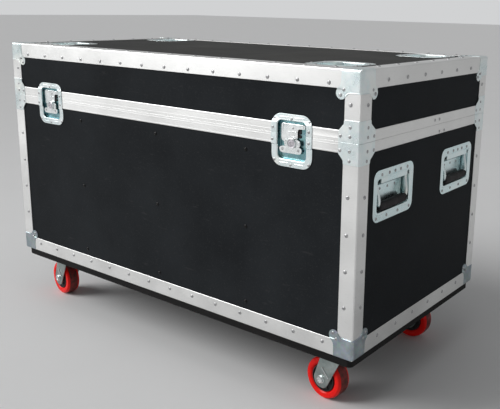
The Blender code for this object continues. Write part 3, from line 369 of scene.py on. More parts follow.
# Cast red polyurethane: glossy, slightly uneven in colour
RED = mottled(
    "red_polyurethane", 0.0, (30, 3), (0.86, 0.006, 0.004), (0.98, 0.012, 0.006), (0.26, 0.36),
    ((200, 2), 0.0001, 0.4), Coat_Weight=0.08, Coat_Roughness=0.15, Specular_IOR_Level=0.15,
)
# The same polyurethane where it rolls: scuffed matt, with floor dirt worked in, and darkened further as painted
# shade
TREAD_DIRT_AND_SHADE = mottled(
    "red_tread_dirt_and_shade", 0.0, (90, 5), (0.26, 0.010, 0.008), (0.06, 0.022, 0.016), (0.45, 0.75),
    ((500, 3), 0.0003, 0.6), rub=(0.35, 0.65),
)
# Blackened steel of the small screw heads on the panels, also put on the handles' pivot rods and eyes as painted
# shade
BLACK_SCREW_AND_SHADE = mottled(
    "black_screw_and_shade", 0.0, (300, 2), (0.001, 0.001, 0.001), (0.004, 0.004, 0.004), (0.2, 0.3),
    (None, 0.0001, 0.4), blend=(0.4, 0.6), Specular_IOR_Level=0.25,
)
# Steel darkened to a mauve grey as painted shade, for the dished bottom of the discs
RECESS_SHADE_STEEL = mottled(
    "recess_shade_steel", 1.0, (160, 3), (0.42, 0.40, 0.43), (0.60, 0.58, 0.61), (0.34, 0.5), (None, 0.0001, 0.5)
)
# Duller, darker metal of the rivet heads, darkened further as painted shade so that they read as dark dots
RIVET_METAL_AND_SHADE = mottled(
    "rivet_metal_and_shade", 1.0, (210, 3), (0.30, 0.30, 0.31), (0.58, 0.58, 0.58), (0.30, 0.46), (None, 0.0001, 0.4)
)
# Near-black core of the wheels, its black a painted shade of the recess, dusty in places
CORE_SHADE = mottled(
    "wheel_core_shade", 0.0, (70, 4), (0.012, 0.012, 0.012), (0.0348, 0.0330, 0.0306), (0.5, 0.75),
    ((600, 2), 0.00015, 0.5), blend=(0.5, 0.75), rub=(0.5, 0.75),
)


# Outlines, as lists of (u, v) points that run counter-clockwise


def arc(u, v, radius, start, end, steps):
    angles = [math.radians(start + (end - start) * step / steps) for step in range(steps + 1)]
    return [(u + radius * math.cos(angle), v + radius * math.sin(angle)) for angle in angles]


def rounded(box, inset=0.0, steps=6):
    """A rounded rectangle, drawn in from its box by an inset."""
    low_u, high_u, low_v, high_v, radius = box
    radius = max(radius - inset, 0.0004)
    near = inset + radius
    middles = ((high_u - near, high_v - near), (low_u + near, high_v - near))
    middles += ((low_u + near, low_v + near), (high_u - near, low_v + near))
    points = []
    for quarter, (u, v) in enumerate(middles):
        points += arc(u, v, radius, 90 * quarter, 90 * quarter + 90, steps)
    return points


def bezier(points, steps):
    """A cubic curve's points, without its first."""
    start, pull_a, pull_b, end = [Vector(point) for point in points]
    curve = []
    for step in range(1, steps + 1):
        t = step / steps
        s = 1 - t
        curve.append(tuple(start * s**3 + pull_a * 3 * s * s * t + pull_b * 3 * s * t * t + end * t**3))
    return curve


def inset_outline(outline, distance):
    """An outline drawn in by a distance, along its corners' middles."""
    moved = []
    for index, here in enumerate(map(Vector, outline)):
        first = (here - Vector(outline[index - 1])).normalized()
        second = (Vector(outline[(index + 1) % len(outline)]) - here).normalized()
        inward = Vector((-first.y - second.y, first.x + second.x))
        moved.append(tuple(here + inward * (distance / max(inward.length_squared / 2, 0.2))))
    return moved


# Mesh tools. Each adds faces to a bmesh.


def at_level(outline, w, place):
    return [place @ Vector((u, v, w)) for u, v in outline]


def loft(shape, rings, caps="both", material=0):
    """Skin closed rings of points, each with the same number of them. Its caps are "both", "last" or
    "none", or "loop" where the last ring joins the first."""
    rows = [[shape.verts.new(point) for point in ring] for ring in rings]
    pairs = list(zip(rows, rows[1:]))
    faces = []
    if caps == "loop":
        pairs.append((rows[-1], rows[0]))
    for first, second in pairs:
        for index in range(len(first)):
            after = (index + 1) % len(first)
            faces.append((first[index], first[after], second[after], second[index]))
    if caps == "both":
        faces.append(rows[0][::-1])
    if caps in ("both", "last"):
        faces.append(rows[-1])
    for face in faces:
        shape.faces.new(face).material_index = material


def strip(shape, rows):
    """Skin open rows of points, each with the same number of them."""
    rows = [[shape.verts.new(point) for point in row] for row in rows]
    for first, second in zip(rows, rows[1:]):
        for index in range(len(first) - 1):
            shape.faces.new((first[index], first[index + 1], second[index + 1], second[index]))


def plate(shape, outline, thickness, place, edge=0.0004):
    """A flat plate from w = 0, with softened edges."""
    steps = ((edge, 0), (0, edge), (0, thickness - edge), (edge, thickness))
    loft(shape, [at_level(inset_outline(outline, inset), w, place) for inset, w in steps])


def turned(shape, profile, place, sides=24, caps="both", material=0):
    """A profile of (radius, height) points turned about w."""
    last = 360 - 360 / sides
    rings = [at_level(arc(0, 0, radius, 0, last, sides - 1), w, place) for radius, w in profile]
    loft(shape, rings, caps, material)


def tube(shape, points, radius, place, sides):
    """A round bar along a line of points."""
    points = [Vector(point) for point in points]
    rings = []
    up = (points[1] - points[0]).orthogonal()
    for index, point in enumerate(points):
        along = (points[min(index + 1, len(points) - 1)] - points[max(index - 1, 0)]).normalized()
        up = (up - along * up.dot(along)).normalized()
        across = along.cross(up)
        around = arc(0, 0, radius, 0, 360 - 360 / sides, sides - 1)
        rings.append([place @ (point + across * a + up * b) for a, b in around])
    loft(shape, rings)


def rivet(shape, place, size=RIVET, material=0):
    """A domed head with the small pit that its pin leaves."""
    radius, height = size
    dome = ((1, -0.25), (1, 0.15), (0.88, 0.55), (0.62, 0.87), (0.34, 1), (0.24, 0.92), (0.20, 0.62))
    turned(shape, [(radius * out, height * up) for out, up in dome], place, 14, material=material)


def rivets(shape, place, spots, size, material=1):
    for u, v in spots:
        rivet(shape, place @ shift(u, v), size, material)


def screw(shape, place, radius, height):
    """A pan head with a cross recess."""
    pit = height * 0.35
    head = ((1, -1 / 3), (1, 0.3), (0.86, 0.8), (0.6, 1))
    turned(shape, [(radius * out, height * up) for out, up in head], place, 16)
    slot = [(radius * u, radius * v) for u, v in ((-0.5, -0.09), (0.5, -0.09), (0.5, 0.09), (-0.5, 0.09))]
    face = place @ shift(0, 0, height - pit * 0.2)
    for turn in (0, 90):
        plate(shape, slot, pit * 0.4, face @ turned_by(0, 0, turn), radius * 0.02)


def bead(shape, place, length, half_width, height):
    """A pressed-up dash, along u."""
    rings = []
    half = length / 2 - half_width
    for scale, w in ((1.0, -height / 2), (0.85, height * 0.5), (0.45, height)):
        outline = arc(half, 0, half_width * scale, -90, 90, 4) + arc(-half, 0, half_width * scale, 90, 270, 4)
        rings.append(at_level(outline, w, place))
    loft(shape, rings)


def pressed_ring(shape, box, out, place, half_width, height):
    """A raised line pressed into a flange, round an outline moved out by a distance."""
    section = ((-1, 0), (-0.45, height), (0.45, height), (1, 0), (0, -height))
    loft(shape, [at_level(rounded(box, -out - half_width * a), w, place) for a, w in section], "loop")


def filled(shape, outlines, w, place):
    """A flat face that looks along w: the first outline less the others."""
    edges = []
    for outline in outlines:
        verts = [shape.verts.new(point) for point in at_level(outline, w, place)]
        edges += [shape.edges.new((verts[index - 1], verts[index])) for index in range(len(verts))]
    bmesh.ops.triangle_fill(shape, edges=edges, use_beauty=True)
    shape.normal_update()
    for face in shape.faces:
        if face.normal.dot(place.to_3x3() @ Vector((0, 0, 1))) < 0:
            face.normal_flip()


def face_outwards(shape, inside):
    """Turn each face of an open sheet away from a point behind it."""
    shape.normal_update()
    for face in shape.faces:
        if face.normal.dot(face.calc_center_median() - inside) < 0:
            face.normal_flip()


def bisect(shape, point, normal, clear=False):
    everything = shape.verts[:] + shape.edges[:] + shape.faces[:]
    bmesh.ops.bisect_plane(shape, geom=everything, plane_co=point, plane_no=normal, clear_inner=clear)


def finished(name, shape, paint, body, nodes=(), thickness=0.0, bevel=0.0):
    """Make a piece of a bmesh: its material, the body it rides on, and the CAD nodes it stands for."""
    if not thickness:
        bmesh.ops.recalc_face_normals(shape, faces=shape.faces)
    mesh = bpy.data.meshes.new(name)
    shape.to_mesh(mesh)
    shape.free()
    mesh.shade_smooth()
    mesh.set_sharp_from_angle(angle=math.radians(38))
    for entry in paint if isinstance(paint, tuple) else (paint,):
        mesh.materials.append(entry)
    piece = placed(name, mesh)
    if thickness:
        sheet = piece.modifiers.new("sheet", "SOLIDIFY")
        sheet.thickness = thickness
        sheet.use_even_offset = False
    if bevel:
        soften = piece.modifiers.new("soften", "BEVEL")
        soften.width = bevel
        soften.segments = 2
        soften.limit_method = "ANGLE"
        soften.angle_limit = math.radians(50)
    piece.modifiers.new("flat_faces", "WEIGHTED_NORMAL").keep_sharp = True
    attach(piece, body)
    if nodes:
        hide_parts(*nodes)
    return piece


# Aluminium edging


def swept_ring(shape, profile, level, side):
    """A closed profile of (out, height) points carried round the case, from a level up or down."""
    rings = []
    for out, height in profile:
        half_u = WIDTH / 2 + out
        half_v = DEPTH / 2 + out
        plan = rounded((-half_u, half_u, -half_v, half_v, max(EDGE_ROUND + out, 0.0004)), 0, 5)
        rings.append(at_level(plan, level + side * height, shift(0, CASE_Y)))
    loft(shape, rings, "loop")


def angle_outline():
    """The section of the edging, from its outer corner, with a rounded heel and toes."""
    toe = 0.0005
    return [
        *arc(EDGE_ROUND, EDGE_ROUND, EDGE_ROUND, 180, 270, 4),
        (EDGING - toe, 0),
        (EDGING, toe),
        (EDGING, EDGING_WALL - toe),
        (EDGING - toe, EDGING_WALL),
        (EDGING_WALL, EDGING_WALL),
        (EDGING_WALL, EDGING - toe),
        (EDGING_WALL - toe, EDGING),
        (toe, EDGING),
        (0, EDGING - toe),
    ]


def corner_places(level):
    """The four corners of the case at a level, as places whose x and y run into the case."""
    for label, (end_x, end_y) in CORNERS.items():
        corner = shift(end_x * WIDTH / 2, CASE_Y + end_y * DEPTH / 2, level)
        yield label, corner @ Matrix.Diagonal((-end_x, -end_y, 1, 1))


def closing_profile(side):
    """The section of the closing profile: a U over the panels, with ridges, and a groove or a tongue."""
    half, depth = (0.0011, -0.002) if side > 0 else (0.0015, 0.0024)
    line = GAP / 2
    face = 0.0001
    return [
        (CLOSING_IN, line),
        (GROOVE_MIDDLE - half, line),
        (GROOVE_MIDDLE - half * 0.8, depth),
        (GROOVE_MIDDLE + half * 0.8, depth),
        (GROOVE_MIDDLE + half, line),
        (-RIDGE, line),
        (face, 0.0005),
        (face, 0.0050),
        (RIDGE, 0.0056),
        (RIDGE, 0.0066),
        (face, 0.0072),
        (face, 0.0188),
        (RIDGE, 0.0194),
        (RIDGE, CLOSING - 0.0008),
        (-RIDGE, CLOSING),
        (-EDGING_WALL, CLOSING),
        (-EDGING_WALL, WEB),
        (PANEL_IN - GAP, WEB),
        (PANEL_IN - GAP, CLOSING),
        (CLOSING_IN, CLOSING),
    ]


def cut_for_latches(piece):
    """Cut the ways for the two latch dishes through a closing profile."""
    cutter_shape = bmesh.new()
    grow = DISH_SHEET + GAP
    low = LATCH_CAVITY[0] - grow
    high = LATCH_CAVITY[1] + grow
    for latch_u in LATCH_U.values():
        box = [(low, -0.03), (high, -0.03), (high, 0.03), (low, 0.03)]
        place = on_face("front", latch_u, LINE)
        loft(cutter_shape, [at_level(box, w, place) for w in (LATCH_FLOOR - grow, 0.01)])
    mesh = bpy.data.meshes.new("latch_cutter")
    cutter_shape.to_mesh(mesh)
    cutter_shape.free()
    cutter = placed("latch_cutter", mesh)
    cut = piece.modifiers.new("latches", "BOOLEAN")
    cut.object = cutter
    cut.solver = "EXACT"
    bpy.context.view_layer.update()
    made = bpy.data.meshes.new_from_object(piece.evaluated_get(bpy.context.evaluated_depsgraph_get()))
    piece.modifiers.clear()
    piece.data = made
    made.set_sharp_from_angle(angle=math.radians(4))
    bpy.data.objects.remove(cutter)


def edging():
    outline = angle_outline()
    profile = [(-u, v) for u, v in reversed(outline)]
    for name, body, end, side, node in (
        ("body_edging", "case_body", CASE_LOW, 1, "body_edge_frame"),
        ("lid_edging", "lid", CASE_TOP, -1, "lid_frame"),
    ):
        shape = bmesh.new()
        swept_ring(shape, profile, end, side)
        levels = sorted((end + side * (EDGING + GAP), LINE - side * (CLOSING + GAP)))
        for _, place in corner_places(0):
            loft(shape, [at_level(outline, level, place) for level in levels])
        finished(name, shape, ALUMINIUM, body, [node])

    for name, side, body, nodes in (
        ("body_closing_profile", -1, "case_body", ["body_closing_frame"]),
        ("lid_closing_profile", 1, "lid", []),
    ):
        shape = bmesh.new()
        swept_ring(shape, closing_profile(side), LINE, side)
        cut_for_latches(finished(name, shape, ALUMINIUM, body, nodes))


# Pressed corners and braces


def corner_outline():
    """One face of a pressed corner, from its own outer corner: a square leg with a round lobe."""
    start = 45 - LOBE_SWEEP / 2
    round_end = arc(LOBE, LOBE, LOBE_RADIUS, start, start + LOBE_SWEEP, 14)
    first = Vector(round_end[0])
    tangent = Vector((-math.sin(math.radians(start)), math.cos(math.radians(start))))
    saddle = bezier([(CORNER_EDGE, CORNER_NECK), (CORNER_EDGE, 0.024), first - tangent * 0.009, first], 6)
    leg = [(CORNER_EDGE, CORNER_ROUND), (CORNER_EDGE, CORNER_NECK), *saddle[:-1]]
    return saddle, [(CORNER_ROUND, CORNER_ROUND), *leg, *round_end, *[(v, u) for u, v in reversed(leg)]]


def corner_face():
    """The flat of a corner with its lobe stepped down on to the panel, as faces of (a, b, depth)."""
    shape = bmesh.new()
    shape.faces.new([shape.verts.new((a, b, 0)) for a, b in corner_outline()[1]])
    start, end = STEP_DOWN
    for normal in (Vector((1, 0, 0)), Vector((0, 1, 0))):
        for distance in (CORNER_ROUND + 0.001, start, end):
            bisect(shape, normal * distance, normal)
    bmesh.ops.triangulate(shape, faces=shape.faces)
    for vert in shape.verts:
        share = (min(vert.co.x, vert.co.y) - start) / (end - start)
        vert.co.z = LOBE_DROP * min(max(share, 0), 1)
    faces = [[tuple(vert.co) for vert in face.verts] for face in shape.faces]
    shape.free()
    return faces


def corner_sheet():
    """The outer skin of a pressed corner. Its x, y and z run into the case."""
    shape = bmesh.new()
    radius = CORNER_ROUND
    steps = 4

    def add(points, turn):
        shape.faces.new([shape.verts.new(point[3 - turn :] + point[: 3 - turn]) for point in points])

    angles = [math.radians(90 * step / steps) for step in range(steps + 1)]
    bend = [(radius - radius * math.sin(angle), radius - radius * math.cos(angle)) for angle in angles]
    stations = (radius, radius + 0.001, *STEP_DOWN, CORNER_EDGE)
    for turn in range(3):
        for points in corner_face():
            add(points, turn)
        for near, far in zip(stations, stations[1:]):
            for first, second in zip(bend, bend[1:]):
                add([(near, *first), (far, *first), (far, *second), (near, *second)], turn)

    def ball(i, j):
        parts = [math.sin(math.radians(90 * part / steps)) for part in (i, j, steps - i - j)]
        return tuple(Vector((radius,) * 3) - Vector(parts).normalized() * radius)

    for i in range(steps):
        for j in range(steps - i):
            add([ball(i, j), ball(i + 1, j), ball(i, j + 1)], 0)
            if i + j < steps - 1:
                add([ball(i + 1, j), ball(i + 1, j + 1), ball(i, j + 1)], 0)
    bmesh.ops.remove_doubles(shape, verts=shape.verts, dist=0.00002)
    face_outwards(shape, Vector((CORNER_EDGE,) * 3))
    return shape


def corner_rim(shape, place):
    """The raised lip of a corner where it saddles over an upright."""
    saddle, _ = corner_outline()
    radius = CORNER_ROUND
    lip = 0.0013
    sunk = 0.0008
    bend = radius - sunk
    path = [(sunk, v, u - lip) for u, v in reversed(saddle)]
    for angle in map(math.radians, (0, 22, 45, 68, 90)):
        path.append((radius - bend * math.cos(angle), radius - bend * math.sin(angle), CORNER_EDGE - lip))
    path += [(v, sunk, u - lip) for u, v in saddle]
    tube(shape, path, 0.0014, place, 8)


def corners():
    for level, up, low, body, paint in (
        # The bottom corners take the zinc darkened as painted shade
        (CASE_LOW, 1, "bottom", "case_body", LOW_SHADE_ZINC),
        (CASE_TOP, -1, "top", "lid", ZINC),
    ):
        for label, place in corner_places(level):
            name = f"{low}_corner_{label}"
            local = place @ Matrix.Diagonal((1, 1, up, 1)) @ Matrix.Translation((-OUTSIDE,) * 3)
            shape = corner_sheet()
            shape.transform(local)
            if local.determinant() < 0:
                bmesh.ops.reverse_faces(shape, faces=shape.faces)
            finished(f"{name}_skin", shape, paint, body, [name], SHEET, 0.0004)
            trim = bmesh.new()
            corner_rim(trim, local)
            for near, far, sunk in mm((40, 40, 0.6), (49, 51, 1.5)):
                for a, b, c in ((1, 0, 2), (0, 2, 1), (2, 1, 0)):
                    spot = Vector()
                    spot[a], spot[b], spot[c] = near + OUTSIDE, far + OUTSIDE, sunk
                    out = Vector()
                    out[c] = -1
                    spin = Vector((0, 0, 1)).rotation_difference(out).to_matrix().to_4x4()
                    rivet(trim, local @ Matrix.Translation(spot) @ spin, (0.0038, 0.0013), 1)
            finished(f"{name}_rivets", trim, (paint, RIVET_METAL_AND_SHADE), body)


def braces():
    """Angles bent round the uprights on both sides of the closing line."""
    radius = CORNER_ROUND - 0.001
    levels = (
        (GAP / 2, 1, 0),
        (BRACE_SHOULDER - 0.002, 1, 0),
        (BRACE_SHOULDER, 0.92, 0),
        (BRACE_NECK - 0.001, 0.08, 0),
        (BRACE_NECK + 0.001, 0, 0),
        (BRACE_HEIGHT - 0.003, 0, 0),
        (BRACE_HEIGHT - 0.0009, 0, 0.0009),
        (BRACE_HEIGHT, 0, 0.003),
    )
    for side, body, name in ((-1, "case_body", "body_brace"), (1, "lid", "lid_brace")):
        for label, place in corner_places(LINE):
            local = place @ Matrix.Diagonal((1, 1, side, 1)) @ shift(-OUTSIDE, -OUTSIDE)
            rows = []
            for level, share, toe in levels:
                edge = EDGING - toe + OUTSIDE
                plan = [(0, edge + BRACE_PAST_SIDE * share), *arc(radius, radius, radius, 180, 270, 4)]
                rows.append(at_level([*plan, (edge + BRACE_PAST_FRONT * share, 0)], level, local))
            shape = bmesh.new()
            strip(shape, rows)
            face_outwards(shape, local @ Vector((0.1, 0.1, BRACE_HEIGHT / 2)))
            finished(f"{name}_{label}", shape, ZINC, body, (), SHEET, 0.0004)


# Dishes


def dish_surface(shape, flange, cavity, top, floor, place, shade_from):
    """The visible side of a pressed dish, from the flange's edge down to its floor. Below a depth
    its faces take the second material, which paints the shade in the dish."""
    steps = [(flange, 0, top - 0.0007), (flange, 0.0003, top - 0.0002), (flange, 0.0009, top)]
    steps += [(cavity, -0.0026, top), (cavity, -0.0012, top - 0.0002), (cavity, -0.0003, top - 0.0009)]
    steps += [(cavity, 0, top - 0.002), (cavity, 0, floor + 0.0022), (cavity, 0.0007, floor + 0.0007)]
    steps += [(cavity, 0.0022, floor)]
    loft(shape, [at_level(rounded(box, inset), level, place) for box, inset, level in steps], "last")
    back = place.inverted()
    for face in shape.faces:
        # Faces below the depth take the painted shade
        face.material_index = int((back @ face.calc_center_median()).z < top - shade_from)


def latch_drop(v):
    """How far the latch's flange steps down past the closing profile."""
    share = (abs(v) - JOGGLE_FROM) / (JOGGLE_TO[1 if v > 0 else -1] - JOGGLE_FROM)
    return JOGGLE * min(max(share, 0), 1)


def latch_dish(name, place, side, body):
    """One half of a latch's dish: the body's below the closing line or the lid's above it."""
    shape = bmesh.new()
    dish_surface(shape, LATCH_FLANGE, LATCH_CAVITY, LATCH_TOP, LATCH_FLOOR, Matrix.Identity(4), 0.0016)
    for distance, clear in ((GAP / 2, True), (JOGGLE_FROM, False), (JOGGLE_TO[side], False)):
        bisect(shape, (0, side * distance, 0), (0, side, 0), clear)
    for vert in shape.verts:
        if vert.co.z > LATCH_TOP - 0.003:
            vert.co.z -= latch_drop(vert.co.y)
    shape.transform(place)
    finished(f"{name}_skin", shape, (ZINC, RECESS_SHADE_ZINC), body, [name], DISH_SHEET)


def latch_trim(name, place, body, spots, dash_v):
    """Rivets and pressed dashes on the flange."""
    shape = bmesh.new()
    for u, v in mm(*spots):
        rivet(shape, place @ shift(u, v, LATCH_TOP - latch_drop(v)), (0.0032, 0.0007), 1)
    for u in (-0.0195, 0.0195):
        bead(shape, place @ shift(u, dash_v, LATCH_TOP - JOGGLE), 0.023, 0.0012, 0.0006)
    finished(f"{name}_rivets", shape, (ZINC, RIVET_METAL_AND_SHADE), body)


# Latches


def latch_bell(label, place):
    """The cover over the hook: a round head for the key, flared to two feet on posts."""
    crown = arc(0, BOSS_V, BELL_HEAD, -20, 200, 18)
    sides = []
    for feet in (BELL_FEET[1], -BELL_FEET[0]):
        side = arc(feet, BELL_FOOT_V, BELL_FOOT, -90, 10, 6)
        pulls = [(side[-1][0] - 0.001, -0.0262), (0.0140, -0.0262)]
        sides.append(side + bezier([side[-1], *pulls, crown[0]], 6))
    outline = sides[0] + crown[1:-1] + [(-u, v) for u, v in reversed(sides[1])]
    shape = bmesh.new()
    plate(shape, outline, BELL_SHEET, place @ shift(0, 0, BELL_LOW))
    for u in BELL_FEET:
        spot = place @ shift(u, BELL_FOOT_V, BELL_LOW)
        turned(shape, [(STEM, LATCH_FLOOR - BELL_LOW), (STEM, 0.0002)], spot, 18)
        rivet(shape, spot @ shift(0, 0, BELL_SHEET), (0.0034, 0.0003), 1)
    finished(f"latch_bell_{label}", shape, (STEEL, RIVET_METAL_AND_SHADE), "case_body")


def latch_floor(label, place):
    """On the dish's floor: the bar in the lid's half that the hook pulls on, and black pads in the grip's rubber
    paint on both halves beside the hook's neck, which paint the deep shade there."""
    floor = place @ shift(0, 0, LATCH_FLOOR)
    shape = bmesh.new()
    plate(shape, rounded((-0.015, 0.015, -0.004, 0.004, 0.002)), 0.0016, floor @ shift(0, 0.01375))
    finished(f"latch_keeper_{label}", shape, ZINC, "lid")
    # Black pads that paint the shade beside the hook's neck
    for name, low, high, body in (("body", -0.0075, -0.0006, "case_body"), ("lid", 0.0006, 0.0105, "lid")):
        shape = bmesh.new()
        plate(shape, rounded((0.0085, 0.0195, low, high, 0.002)), 0.0014, floor)
        finished(f"latch_shade_pad_{name}_{label}", shape, GRIP, body)


def latch_hook(label, place):
    """The sliding plate: a rolled upper lip, pressed ribs, and a slot for the key's stem."""
    body = f"latch_hook_{label}"
    top = 0.0215
    reach = 0.0305
    shoulder = 0.005
    outline = mm(
        (8.0, -32.5), (9.5, -31.0), (10.0, -10.5), (11.8, -6.0), (11.6, 6.0), (12.8, 9.8), (16.0, 11.6),
        (28.5, 11.8), (30.5, 13.6),
    )
    outline += arc(reach - shoulder, top - shoulder, shoulder, 0, 90, 5)
    outline += arc(shoulder - reach, top - shoulder, shoulder, 90, 180, 5)
    outline += mm((-30.5, -10), (-28.8, -15), (-20, -19.5), (-16.5, -23), (-16.5, -30), (-15, -32.5))
    slot = arc(0, BOSS_V, 0.0043, 0, 180, 6) + arc(0, BOSS_V - 0.005, 0.0043, 180, 360, 6)
    shape = bmesh.new()
    filled(shape, [outline, slot], HOOK_SHEET, place @ shift(0, 0, HOOK_LOW))
    finished(f"{body}_plate", shape, STEEL, body, [body], HOOK_SHEET, 0.0004)

    trim = bmesh.new()
    face = place @ shift(0, 0, HOOK_LOW + HOOK_SHEET)
    lip = reach - 0.0055
    ends = ((-lip, 0), (0.001 - lip, 0.0002), (lip - 0.001, 0.0002), (lip, 0))
    tube(trim, [(u, top - 0.0014, w) for u, w in ends], 0.0014, face, 10)
    bead(trim, face @ shift(-0.002, 0.0042), 0.022, 0.0012, 0.0008)
    for u, v, length in mm((-25.5, 12.5, 11), (25.5, 15.5, 6)):
        bead(trim, face @ shift(u, v) @ turned_by(0, 0, 90), length, 0.0010, 0.0006)
    rivet(trim, face @ shift(0, 0.0125), (0.0024, 0.0010), 1)
    finished(f"{body}_lip", trim, (STEEL, RIVET_METAL_AND_SHADE), body)


def latch_key(label, place):
    """The turning disc, raised like a drum with a dished middle, and its two folding wings."""
    body = f"latch_key_{label}"
    shape = bmesh.new()
    seat = place @ shift(0, BOSS_V, WING_LOW)
    turned(shape, [(STEM, HOOK_LOW - WING_LOW), (STEM, 0.0004)], seat, 16)
    half = mm((10.5, -6.2), (14.0, -7.0), (16.5, -7.0)) + arc(0.0161, -0.0026, 0.0044, -90, 0, 4)[1:]
    right = half + [(u, -v) for u, v in reversed(half)]
    plate(shape, right + [(-u, -v) for u, v in right], 0.0012, seat, 0.0003)
    for side in (-1, 1):
        for u, length, half_width, height in mm((17.8, 9.0, 1.1, 0.9), (13.4, 7.5, 0.8, 0.5)):
            bead(shape, seat @ shift(side * u, 0, 0.0012) @ turned_by(0, 0, 90), length, half_width, height)
    rim = mm((7, 1), (10.5, 1), (10.5, 3.6), (10.2, 4.2), (9.7, 4.4), (9.3, 4.0), (8.9, 2.4))
    dish = mm((9.2, 2.3), (9.1, 3.6), (8.0, 3.2), (5.2, 3.3), (4.6, 3.8), (4.0, 3.8), (4.0, 2.3))
    turned(shape, rim, seat, 32, "loop")
    # The dished middle takes the steel darkened as painted shade
    turned(shape, dish, seat, 32, "loop", 1)
    turned(shape, mm((4.0, 2.3), (3.8, 3.2), (2.2, 2.9)), seat, 24, material=1)
    finished(f"{body}_disc", shape, (STEEL, RECESS_SHADE_STEEL), body, [body])


def latches():
    low_spots = ((-49, -14.5), (44.5, -13.5), (-44.5, -57.5), (-2, -64.5), (44.5, -58.5))
    high_spots = ((-44.5, 29.5), (0, 31.5), (44.5, 28.5), (-48, 10.5), (44.5, 9.5))
    for label, u in LATCH_U.items():
        place = on_face("front", u, LINE)
        latch_dish(f"latch_dish_{label}", place, -1, "case_body")
        latch_dish(f"latch_keeper_dish_{label}", place, 1, "lid")
        latch_trim(f"latch_dish_{label}", place, "case_body", low_spots, -0.0615)
        latch_trim(f"latch_keeper_dish_{label}", place, "lid", high_spots, 0.0345)
        latch_bell(label, place)
        latch_floor(label, place)
        latch_hook(label, place)
        latch_key(label, place)


# Side handles


def handle_dish(label, place):
    name = f"handle_dish_{label}"
    shape = bmesh.new()
    dish_surface(shape, HANDLE_FLANGE, HANDLE_CAVITY, HANDLE_TOP, HANDLE_FLOOR, place, 0.0220)
    finished(f"{name}_skin", shape, (BLUE_ZINC, RECESS_SHADE_ZINC), "case_body", [name], DISH_SHEET)

    trim = bmesh.new()
    top = place @ shift(0, 0, HANDLE_TOP)
    upper = [(u, 0.0445) for u in (-0.0515, -0.0215, 0.0025, 0.0255, 0.0545)]
    lower = [(u, -0.0455) for u in (-0.0700, -0.0275, 0.0195, 0.0690)]
    rivets(trim, top, upper + lower, SMALL_RIVET)
    pressed_ring(trim, HANDLE_CAVITY, 0.0048, top, 0.0010, 0.0005)
    cover = place @ shift(0, 0, HANDLE_FLOOR)
    plate(trim, rounded(HANDLE_COVER), HANDLE_PLATE, cover, 0.0010)
    rivets(trim, cover @ shift(0, 0, HANDLE_PLATE), mm((-30, 8.7), (1, 8.7), (31.5, 8.7)), (0.0030, 0.0010))
    # The brow over the spring, which leaves a slot at each end for the bail
    plate(trim, rounded(HANDLE_BROW), 0.0015, top @ shift(0, 0, -0.0008))
    finished(f"{name}_trim", trim, (BLUE_ZINC, RIVET_METAL_AND_SHADE), "case_body")


def handle_bail(label, place):
    """A sprung bail of round bar, on its pivot rod, with a moulded grip."""
    body = f"handle_{label}"
    top = (BAIL_U, BAIL_V, BAIL_W)
    bar = (0.0575, -0.010, -0.0027)
    right = [top, *bezier([top, (BAIL_U, 0.010, BAIL_W), (0.0575, 0.006, -0.0037), bar], 6)]
    right += bezier([bar, (0.0575, -0.020, -0.0022), (0.0545, GRIP_V, GRIP_W), (0.046, GRIP_V, GRIP_W)], 6)
    shape = bmesh.new()
    tube(shape, [(-u, v, w) for u, v, w in right] + right[::-1], BAIL_RADIUS, place, 14)
    counts = [len(shape.faces)]
    tube(shape, [(u, BAIL_V, BAIL_W) for u in (-0.0672, -0.0668, 0.0668, 0.0672)], 0.0020, place, 14)
    eye_profile = mm((3.0, -3.6), (4.4, -3.2), (4.7, 0), (4.4, 3.2), (3.0, 3.6))
    for side in (-1, 1):
        turned(shape, eye_profile, place @ shift(side * BAIL_U, BAIL_V, BAIL_W) @ turned_by(0, 90, 0), 16)
    counts.append(len(shape.faces))
    around = arc(BAIL_V, BAIL_W, COIL, 0, 360 * COIL_TURNS, COIL_TURNS * COIL_STEPS)
    for side in (-1, 1):
        coil = [(side * (0.030 + 0.0022 * step / COIL_STEPS), v, w) for step, (v, w) in enumerate(around)]
        tube(shape, coil, 0.0007, place, 6)
    # The pivot rod and its eyes take the black steel, and the springs the darker zinc, both as painted shade under
    # the brow
    shape.faces.ensure_lookup_table()
    for material, count in enumerate(counts, 1):
        for face in shape.faces[count:]:
            face.material_index = material
    finished(f"{body}_bail", shape, (ZINC, BLACK_SCREW_AND_SHADE, SHADED_DULL_ZINC), body)

    grip = bmesh.new()
    middle = place @ shift(0, GRIP_V, GRIP_W) @ turned_by(0, 90, 0)
    half = [(1.0, 0.0042), (0.994, 0.0022), (0.975, 0.0006), (0.95, 0), (0.90, 0), (0.885, 0.0006), (0.87, 0)]
    rings = []
    for share, inset in [(-share, inset) for share, inset in half] + half[::-1]:
        rings.append(at_level(rounded(GRIP_SECTION, inset, 5), share * GRIP_HALF, middle))
    loft(grip, rings)
    for v in (-0.0036, 0.0, 0.0036):
        ridge = place @ shift(0, GRIP_V + v, GRIP_W + GRIP_SECTION[1] - 0.0002)
        bead(grip, ridge, 0.086, 0.0010, 0.0003)
    finished(f"{body}_grip", grip, GRIP, body, [body])


def handles():
    for face in ("left", "right"):
        for end in ("front", "back"):
            label = f"{face}_{end}"
            y = JOINTS[f"handle_{label}_hinge"].y - CASE_Y
            place = on_face(face, y if face == "right" else -y, LINE - HANDLE_BELOW_LINE)
            handle_dish(label, place)
            handle_bail(label, place)


# Dishes in the lid that take the castors of a case on top


